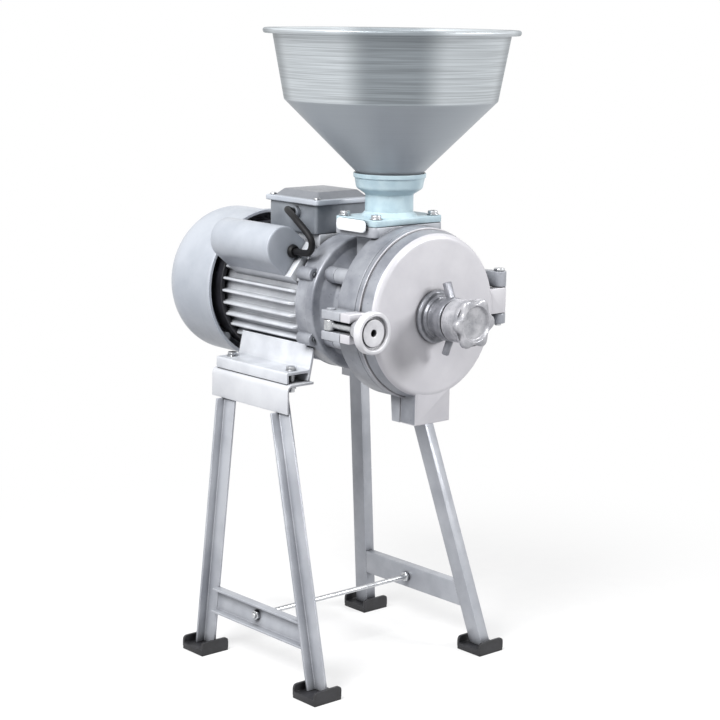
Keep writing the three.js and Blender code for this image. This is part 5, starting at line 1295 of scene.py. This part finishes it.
# %% Door
DOOR_FACE = DOOR_LOW.y
DOOR_BACK = DOOR_FACE + DOOR_DEPTH
DOOR_INSIDE = DOOR_FACE + 6
LIP_FRONT = DOOR_BACK - 7
DOOR_SHOULDER = 93.0
BAND_RADIUS = 96.9
LIP_ROOT = 95.6
DOOR_SPOUT = 26.0
BOSS_HOLE = 13.0
DISC_PINS = (50, -50)
PIN_END = DOOR_INSIDE + 17.3


def make_door():
    corners = [
        (0, DOOR_FACE), (DOOR_SHOULDER, DOOR_FACE), (BAND_RADIUS, LIP_FRONT - 2.4),
        (LIP_ROOT, LIP_FRONT - 1.6), (LIP_ROOT, LIP_FRONT),
        (RING_RADIUS, LIP_FRONT), (RING_RADIUS, DOOR_BACK), (RING_INNER, DOOR_BACK), (RING_INNER, DOOR_INSIDE),
        (0, DOOR_INSIDE),
    ]
    outline = rounded(corners, [0, 8, 0.5, 0.3, 0.3, 1.0, 0.9, 0.8, 2, 0], 8)
    dish = turned("mill_door", outline, "Y", SHAFT, FINE_STEPS)
    spout = softened(spout_half("spout", DOOR_BACK - DOOR_SPOUT, DOOR_BACK, 0), 1.2, 3)
    hollow = rod("hollow", RING_INNER, "Y", SHAFT, DOOR_INSIDE, DOOR_BACK + PAST, 0, TURN_STEPS)
    inner = SPOUT_HALF - SPOUT_WALL
    front = DOOR_BACK - DOOR_SPOUT + SPOUT_WALL
    duct = slab("duct", (-inner, front, SPOUT_BOTTOM - PAST), (inner, DOOR_BACK + PAST, DUCT_TOP))
    hole = rod("hole", BOSS_HOLE, "Y", SHAFT, DOOR_FACE - PAST, DOOR_INSIDE + PAST, 0)
    shell = carved(joined(dish, spout), hollow, duct, hole)
    inside = rod("inside", RING_INNER, "Y", SHAFT, DOOR_FACE, PARTING, 0, TURN_STEPS)
    ears = carved(joined(*ear_pair(DOOR_BACK - EAR_DEPTH, DOOR_BACK, EAR_END)), inside)
    pins = [rod("pin", 5, "Y", (x, SHAFT_Z), DOOR_INSIDE - 3, PIN_END, 0.5) for x in DISC_PINS]
    piece = joined(shell, ears, make_door_knuckle(), *pins)
    dress(piece, "door_paint", door_silver, "door", body="mill_door")
    banded(piece, rim_shade_silver, RIM_INNER, RIM_OUTER)
    return piece


def make_door_knuckle():
    low, high = SHAFT_Z - 8.1, SHAFT_Z + 22.1
    front = HINGE_Y - KNUCKLE
    corners = [(89, front), (HINGE_X, front), (HINGE_X, HINGE_Y + 4.2), (89, DOOR_BACK - 0.6)]
    plate = softened(pushed("arm", corners, "Z", low, high), 1.0)
    knuckle = rod("knuckle", KNUCKLE, "Z", HINGE, low, high, 1.0)
    bore = rod("bore", HINGE_BORE, "Z", HINGE, low - PAST, high + PAST)
    return carved(joined(plate, knuckle), bore)


make_door()
print("with door", len(DRESSED))


# %% [markdown]
# ## Adjuster
# A stepped boss is fixed on the door. Through it runs the spindle, which the lobed handwheel turns, and a ring
# with two bars locks it. The upper bar is a flat forging and the lower one is round and knurled, so that one is
# an outline with many small teeth pushed along its length.

# %% Boss, lock ring and handwheel
BOSS_FACE = DOOR_FACE - GAP
BOSS_END = BOSS_FACE - 20
SPINDLE_BORE = 12.3
LOCK_BACK = BOSS_END - GAP
LOCK_FRONT = LOCK_BACK - 12
LOCK_RADIUS = 25.0
LOCK_REACH = 41.0
BAR_HALF = (4.5, 3.5)
LOCK_SWEEP = 9.0
WHEEL_BACK = LOCK_FRONT - 0.8
WHEEL_FRONT = WHEEL_BACK - 33
WHEEL_PLATE = 9.0
WHEEL_HUB = 24.5
WHEEL_RECESS = 20.5
WHEEL_RIMS = [(2.4, 0.0), (1.2, 0.35), (0.4, 1.2), (0.0, 2.6)]
WHEEL_STEPS = 180
SPINDLE_COLLAR = 17.0
BAR_ROOT_RADIUS = 18.5
KNURLS = 26
KNURL_DEPTH = 0.45
LOBE_RADIUS = 30.0
LOBE_DEPTH = 3.2
LOBES = 6


def make_boss():
    steps = [(30.5, 0), (30.5, 4), (28.5, 6), (24.5, 6), (23.5, 9), (21, 10)]
    corners = [(radius, BOSS_FACE - step) for radius, step in steps]
    corners = [(SPINDLE_BORE, BOSS_FACE), *corners, (21, BOSS_END), (SPINDLE_BORE, BOSS_END)]
    outline = rounded(corners, [0.3, 0.6, 1.2, 1.2, 0.8, 1.2, 0.8, 1.0, 0.3], 4)
    piece = turned("door_boss_flange", outline, "Y", SHAFT)
    return dress(piece, "mill_casting", lock_silver, "door_boss", body="mill_door")


def make_spindle():
    low, high = span("adjusting_spindle")
    collar = high.y - 3
    plate_front = collar - GAP - 4.4 - GAP
    shank, wide = 12, SPINDLE_COLLAR
    corners = [
        (0, low.y), (shank, low.y), (shank, plate_front - 3), (wide, plate_front - 3), (wide, plate_front),
        (shank, plate_front), (shank, collar), (wide, collar), (wide, high.y), (0, high.y),
    ]
    outline = rounded(corners, [0, 0.8, 0.3, 0.6, 0.6, 0.3, 0.3, 0.6, 0.8, 0])
    piece = turned("spindle_turned", outline, "Y", SHAFT, SMALL_STEPS)
    return dress(piece, "zinc", turned_steel, "adjusting_spindle", body="adjuster")


def knurled_outline(radius, teeth, depth):
    outline = []
    for tooth in range(teeth):
        for share, height in ((0.0, radius - depth), (0.5, radius)):
            angle = 2 * math.pi * (tooth + share) / teeth
            outline.append((height * math.cos(angle), height * math.sin(angle)))
    return outline


def make_lock_ring():
    wide, thick = BAR_HALF
    corners = rectangle((SPINDLE_BORE, LOCK_FRONT), (LOCK_RADIUS, LOCK_BACK))
    hub = turned("lock_ring_with_bars", rounded(corners, [0.6, 2.0, 2.0, 0.6], 4), "Y", SHAFT)
    reach = LOCK_REACH - BAR_ROOT_RADIUS
    half = math.hypot(reach, LOCK_SWEEP) / 2
    flat = softened(slab("flat", (-wide, -thick, -half), (wide, thick, half)), 1.3, 3)
    grip = softened(pushed("grip", knurled_outline(wide, KNURLS, KNURL_DEPTH), "Z", -half, half), 0.3, 1, 60)
    for up, bar in ((1, flat), (-1, grip)):
        lean = Matrix.Rotation(-up * math.atan2(LOCK_SWEEP, reach), 4, "X")
        height = SHAFT_Z + up * (BAR_ROOT_RADIUS + reach / 2)
        centre = Vector((0, (LOCK_FRONT + LOCK_BACK) / 2 + LOCK_SWEEP / 2, height))
        bar.data.transform(Matrix.Translation(centre * MM) @ lean)
    bore = rod("bore", SPINDLE_BORE, "Y", SHAFT, LOCK_FRONT - PAST, BOSS_END + PAST, 0, SMALL_STEPS)
    piece = carved(joined(hub, flat, grip), bore)
    return dress(piece, "mill_casting", lock_silver, "lock_ring", body="lock")


def lobed_loop(inset, station):
    """The wheel's outline at a station: a circle whose radius swings in and out once for each lobe."""
    loop = []
    for index in range(WHEEL_STEPS):
        angle = 2 * math.pi * index / WHEEL_STEPS
        radius = LOBE_RADIUS - LOBE_DEPTH * (1 - math.cos(LOBES * angle)) - inset
        loop.append((radius * math.cos(angle), station, SHAFT_Z + radius * math.sin(angle)))
    return loop


def make_handwheel():
    flare = WHEEL_FRONT + WHEEL_PLATE
    corners = [
        (SPINDLE_BORE, WHEEL_BACK), (WHEEL_HUB, WHEEL_BACK), (WHEEL_HUB, flare + 6), (WHEEL_HUB + 2, flare + 0.5),
        (WHEEL_HUB + 2, flare - 3), (SPINDLE_BORE, flare - 3),
    ]
    barrel = turned("handwheel_casting", rounded(corners, [0.5, 2.5, 4, 1, 0, 0], 5), "Y", SHAFT)
    rims = WHEEL_RIMS + [(inset, WHEEL_PLATE - step) for inset, step in WHEEL_RIMS[::-1]]
    plate = skinned("plate", [lobed_loop(inset, WHEEL_FRONT + step) for inset, step in rims], False)
    front, floor, edge = WHEEL_FRONT - PAST, WHEEL_FRONT + 3, WHEEL_RECESS
    corners = [(0, front), (edge, front), (edge, WHEEL_FRONT), (edge - 2, floor), (0, floor)]
    recess = turned("recess", rounded(corners, [0, 0, 0.6, 1.5, 0], 5), "Y", SHAFT)
    well = rod("well", SPINDLE_BORE, "Y", SHAFT, WHEEL_BACK - 24.3, WHEEL_BACK + PAST, 0, SMALL_STEPS)
    piece = carved(joined(barrel, plate), recess, well)
    return dress(piece, "mill_casting", wheel_silver, "handwheel", body="adjuster")


make_boss()
make_spindle()
make_lock_ring()
make_handwheel()
print("with adjuster", len(DRESSED))


# %% [markdown]
# ## Swing clamp
# The clamp bolt swings on a pin between the body's ears. A tapered nose presses on the door's ears, and in front of
# it a dished knob runs on the bolt's thread. The dish has a raised rim, a groove and a flat middle with a hole.

# %% Clamp
CLAMP_SPOT = (CLAMP_X, CLAMP_Z)
NOSE_Y = DOOR_BACK - EAR_DEPTH - 1.2
NOSE_DEPTH = 10.0
NOSE_RADIUS = 11.0
NECK_Y = NOSE_Y - NOSE_DEPTH - GAP
DISH_Y = NECK_Y - 11
KNOB_FRONT = DISH_Y - 12
KNOB_RADIUS = 24.0
BOLT_BORE = 4.8
BOLT_SHANK = 4.5
BOLT_PITCH = 1.25
BOLT_END = CLAMP_PIVOT - 65


def make_swing_bolt():
    half = EAR_INNER - 0.7
    pivot = (CLAMP_X, CLAMP_PIVOT)
    eye = rod("swing_bolt_with_eye", 8, "Z", pivot, CLAMP_Z - half, CLAMP_Z + half, 1.0, SMALL_STEPS)
    corners = [(0, BOLT_END), (3.6, BOLT_END)]
    station = BOLT_END + 1
    while station < NOSE_Y + 1:
        corners += [(BOLT_SHANK, station), (BOLT_SHANK - 0.5, station + 0.6)]
        station += BOLT_PITCH
    corners += [(BOLT_SHANK, NOSE_Y + 2), (BOLT_SHANK, CLAMP_PIVOT), (0, CLAMP_PIVOT)]
    shank = turned("shank", corners, "Y", CLAMP_SPOT, 40)
    bore = rod("bore", 4.2, "Z", pivot, CLAMP_Z - 12, CLAMP_Z + 12, 0)
    return dress(carved(joined(eye, shank), bore), "zinc", zinc, "swing_bolt", body="clamp_bolt")


def make_nose():
    end = NOSE_Y - NOSE_DEPTH
    corners = [(BOLT_BORE, NOSE_Y), (8.5, NOSE_Y), (NOSE_RADIUS, NOSE_Y - 5), (NOSE_RADIUS, end), (BOLT_BORE, end)]
    piece = turned("clamp_nose_turned", rounded(corners, [0.3, 1.2, 4, 0.8, 0.3], 6), "Y", CLAMP_SPOT, SMALL_STEPS)
    return dress(piece, "zinc", wheel_silver, "clamp_nose", body="clamp_washer")


def make_knob():
    end = BOLT_END - GAP
    groove, floor = KNOB_FRONT + 4.6, KNOB_FRONT + 2.4
    corners = [
        (BOLT_BORE, NECK_Y), (NOSE_RADIUS, NECK_Y), (12, NECK_Y - 4), (21, DISH_Y), (KNOB_RADIUS, DISH_Y - 3),
        (KNOB_RADIUS, KNOB_FRONT + 1.5), (22.6, KNOB_FRONT), (19.2, KNOB_FRONT), (18, groove), (15.8, groove),
        (15.2, floor), (4.2, floor), (4.2, end), (BOLT_BORE, end),
    ]
    radii = [0.3, 0.8, 3.0, 2.5, 1.5, 1.2, 0.9, 0.7, 0.8, 0.6, 0.7, 0.5, 0, 0]
    piece = turned("clamp_knob_dish", rounded(corners, radii, 5), "Y", CLAMP_SPOT)
    return dress(piece, "mill_casting", knob_white, "clamp_knob", body="clamp_wheel")


make_swing_bolt()
make_nose()
make_knob()
print("with clamp", len(DRESSED))


# %% [markdown]
# ## Hopper, seat and gate
# The hopper is one spun sheet: a cone, a crease, then a band that opens a little to a rolled rim. Its spigot
# drops into a cup on the seat, and four bolts hold the seat's flange. A thin enamelled gate slides between the two
# flanges, with its front end turned up into a tab.

# %% Hopper
HOPPER_SPOT = (HOPPER_X, HOPPER_Y)
HOPPER_SHEET = 1.8
CREASE_RADIUS = 122.5
WALL_RADIUS = 136.0
RIM_RADIUS = 147.0
SPIGOT_RADIUS = 23.0
SEAT_PLATE = 8.0
SEAT_BORE = 24.0
TUBE_RADIUS = 28.0
CONE_MOUTH = 36.5
CUP_TOP = SHAFT_Z + 155
CONE_SLOPE = (CREASE_RADIUS - CONE_MOUTH) / 85
CONE_END = CUP_TOP - (CONE_MOUTH - SPIGOT_RADIUS) / CONE_SLOPE
GATE_SHEET = 2.4
TAB_SHEET = 2.6


def make_hopper():
    low, top = HOPPER_LOW.z, HOPPER_HIGH.z
    lip = top - 6
    outer = [
        (SPIGOT_RADIUS, low), (SPIGOT_RADIUS, CONE_END), (CREASE_RADIUS, CREASE_HEIGHT), (WALL_RADIUS, lip),
        (RIM_RADIUS - 1.4, lip), (RIM_RADIUS, lip + 2), (RIM_RADIUS, top - 1.6), (RIM_RADIUS - 1.6, top),
        (WALL_RADIUS + 1, top - 1.2), (WALL_RADIUS - HOPPER_SHEET, top - 4),
    ]
    spigot = SPIGOT_RADIUS - HOPPER_SHEET
    inner = [(CREASE_RADIUS - HOPPER_SHEET, CREASE_HEIGHT + 0.9), (spigot, CONE_END + 0.9), (spigot, low)]
    radii = [0.3, 3, 2.5, 1, 1, 1.2, 1.2, 1.2, 2, 1, 4, 2.5, 3, 0.3]
    outline = rounded([*outer, (WALL_RADIUS - 2.2, lip), *inner], radii, 5)
    piece = turned("hopper_spun", outline, "Z", HOPPER_SPOT, 160)
    return dress(piece, "spun_metal", spun_hopper, "hopper")


def make_seat():
    low = span("hopper_seat")[0].z
    top = low + SEAT_PLATE
    plate = softened(pushed("hopper_seat_casting", flange_outline(), "Z", low, top), 1.0, 3)
    floor = CUP_TOP - (CONE_MOUTH + GAP - SEAT_BORE) / CONE_SLOPE
    mouth = CONE_MOUTH + GAP + CONE_SLOPE * 2
    corners = [
        (SEAT_BORE, low), (TUBE_RADIUS, low), (TUBE_RADIUS, top), (TUBE_RADIUS, SHAFT_Z + 132.5),
        (38.5, SHAFT_Z + 139.5), (40.5, CUP_TOP - 4), (42, CUP_TOP - 3), (42, CUP_TOP + 2), (mouth, CUP_TOP + 2),
        (SEAT_BORE, floor),
    ]
    tube = turned("tube", rounded(corners, [0, 0, 0, 3, 6, 1, 1, 0.9, 0.5, 3], 6), "Z", HOPPER_SPOT)
    corners = [(SEAT_BORE + 1, low + 2), (33, top - 0.1), (TUBE_RADIUS, top + 5), (SEAT_BORE + 1, top + 5)]
    fillet = turned("fillet", corners, "Z", HOPPER_SPOT)
    bore = rod("bore", SEAT_BORE, "Z", HOPPER_SPOT, low - PAST, top + 6, 0, TURN_STEPS)
    holes = [rod("hole", BOLT_HOLE, "Z", spot, low - PAST, top + PAST, 0) for spot in SEAT_BOLTS]
    piece = carved(joined(plate, tube, fillet), bore, *holes)
    return dress(piece, "seat_paint", seat_cyan, "hopper_seat")


def make_seat_bolt(index):
    low, high = span(f"seat_bolt_{index}")
    spot = middle(f"seat_bolt_{index}")
    under = high.z - BOLT_HEAD_THICK
    shank = rod(f"seat_bolt_{index}_turned", BOLT_RADIUS, "Z", spot, low.z, high.z - 2)
    washer = rod("washer", 7, "Z", spot, under, under + 1.2, 0.4)
    outline = rounded(rectangle((0, under + 1), (5.8, high.z)), [0, 0, 1.2, 0], 4)
    head = turned("head", outline, "Z", spot, ROD_STEPS)
    socket = pushed("socket", hexagon(2.9, spot, 0.2 * index), "Z", high.z - 2.6, high.z + 2)
    return dress(carved(joined(shank, washer, head), socket), "zinc", zinc, f"seat_bolt_{index}")


def make_gate():
    low, high = span("feed_gate")
    plate_low = THROAT_TOP + GAP
    corners = rectangle((low.x + 1, HOPPER_Y - GATE_SIDE), (high.x, HOPPER_Y + GATE_SIDE))
    outline = rounded_all(corners, [0, 6, 6, 0], 5)
    plate = softened(pushed("feed_gate_sheet", outline, "Z", plate_low, plate_low + GATE_SHEET), 0.5)
    face = rounded_all(rectangle((low.y, low.z + 5), (high.y, high.z - 1)), [7] * 4, 6)
    tab = softened(pushed("tab", face, "X", low.x, low.x + TAB_SHEET), 0.8, 3)
    return dress(joined(plate, tab), "gate_enamel", gate_white, "feed_gate", body="gate")


make_hopper()
make_seat()
for index in (1, 2, 3, 4):
    make_seat_bolt(index)
make_gate()
print("with hopper", len(DRESSED))


# %% [markdown]
# ## Studio
# The photograph is a cut-out on white. A white floor keeps the soft shadow under the stand, and the world is white
# to the camera and to reflections, with less of it in the ambient light so that the shading stays. In the same way
# the floor is white to look at, but throws only a grey tone back on the machine, which keeps its undersides dark.
# One large soft lamp stands high on the left, a smaller one on the right front, and a weak one above.

# %% Floor, world and lamps
FLOOR_SIZE = 40.0
PAPER_WHITE = 0.6
PAPER_STOPS = [(0.3, "#F6F6F7"), (0.7, "#FAFAFA")]
FLOOR_BOUNCE = "#8E8E92"
FADE_FROM, FADE_TO = 0.2, 0.9
AMBIENT = 0.25
LAMPS = [
    ("key_left", (-2.0, -0.5, 2.2), (0, 0, 0.45), 1.3, 104),
    ("key_right", (1.5, -2.3, 1.6), (0, 0, 0.45), 0.8, 60),
    ("top", (0, 0.2, 2.6), (0, 0, 0.4), 1.2, 8),
]


def seen_directly(tree):
    """One for the rays that show a thing to the camera, a reflection or a glass, and zero for those that light it."""
    paths = add_node(tree, "LightPath").outputs
    seen = add_node(tree, "Math", {"operation": "MAXIMUM"}, {0: paths["Is Camera Ray"], 1: paths["Is Glossy Ray"]})
    return add_node(tree, "Math", {"operation": "MAXIMUM"}, {0: seen, 1: paths["Is Transmission Ray"]})


def make_floor():
    half = FLOOR_SIZE / 2 / MM
    floor = pushed("floor", rectangle((-half, -half), (half, half)), "Z", -20, 0)
    material, tree, shader = new_material("white_paper_floor", Roughness=0.9)
    here = add_node(tree, "TexCoord").outputs["Object"]
    fibre = add_node(tree, "TexNoise", {"Scale": 40.0}, {"Vector": here})
    tone = add_node(tree, "ValToRGB", {"stops": PAPER_STOPS}, {"Fac": fibre})
    seen = seen_directly(tree)
    thrown = add_node(tree, "MixRGB", {"Color1": linear(FLOOR_BOUNCE)}, {"Fac": seen, "Color2": tone})
    feed(tree, shader, {"Base Color": thrown})
    away = add_node(tree, "VectorMath", {"operation": "LENGTH"}, {0: here}).outputs["Value"]
    fading = {"From Min": FADE_FROM, "From Max": FADE_TO, "To Min": PAPER_WHITE, "To Max": 1.0}
    fade = add_node(tree, "MapRange", {"interpolation_type": "SMOOTHSTEP", **fading}, {"Value": away})
    share = add_node(tree, "Math", {"operation": "MULTIPLY"}, {0: fade, 1: seen})
    glow = add_node(tree, "Emission", {"Color": (1, 1, 1, 1), "Strength": 1.0})
    mix = add_node(tree, "MixShader", links={"Fac": share, 1: shader, 2: glow})
    feed(tree, tree.nodes["Material Output"], {"Surface": mix})
    floor.data.materials.append(material)
    return floor


def make_world(ambient):
    world = bpy.data.worlds.new("studio")
    bpy.context.scene.world = world
    world.use_nodes = True
    tree = world.node_tree
    tree.nodes.clear()
    plain = add_node(tree, "Background", {"Color": (1, 1, 1, 1), "Strength": 1.0})
    soft = add_node(tree, "Background", {"Color": (1, 1, 1, 1), "Strength": ambient})
    mix = add_node(tree, "MixShader", links={"Fac": seen_directly(tree), 1: soft, 2: plain})
    add_node(tree, "OutputWorld", links={"Surface": mix})


def make_lamp(name, place, aim, size, watts):
    lamp = bpy.data.lights.new(name, "AREA")
    lamp.shape = "RECTANGLE"
    lamp.size = lamp.size_y = size
    lamp.energy = watts
    holder = bpy.data.objects.new(name, lamp)
    bpy.context.scene.collection.objects.link(holder)
    holder.location = place
    holder.rotation_euler = (Vector(aim) - Vector(place)).to_track_quat("-Z", "Y").to_euler()
    return holder


make_floor()
make_world(AMBIENT)
for lamp in LAMPS:
    make_lamp(*lamp)
bpy.context.scene.view_settings.view_transform = "Standard"
print("lamps", len(bpy.data.lights))
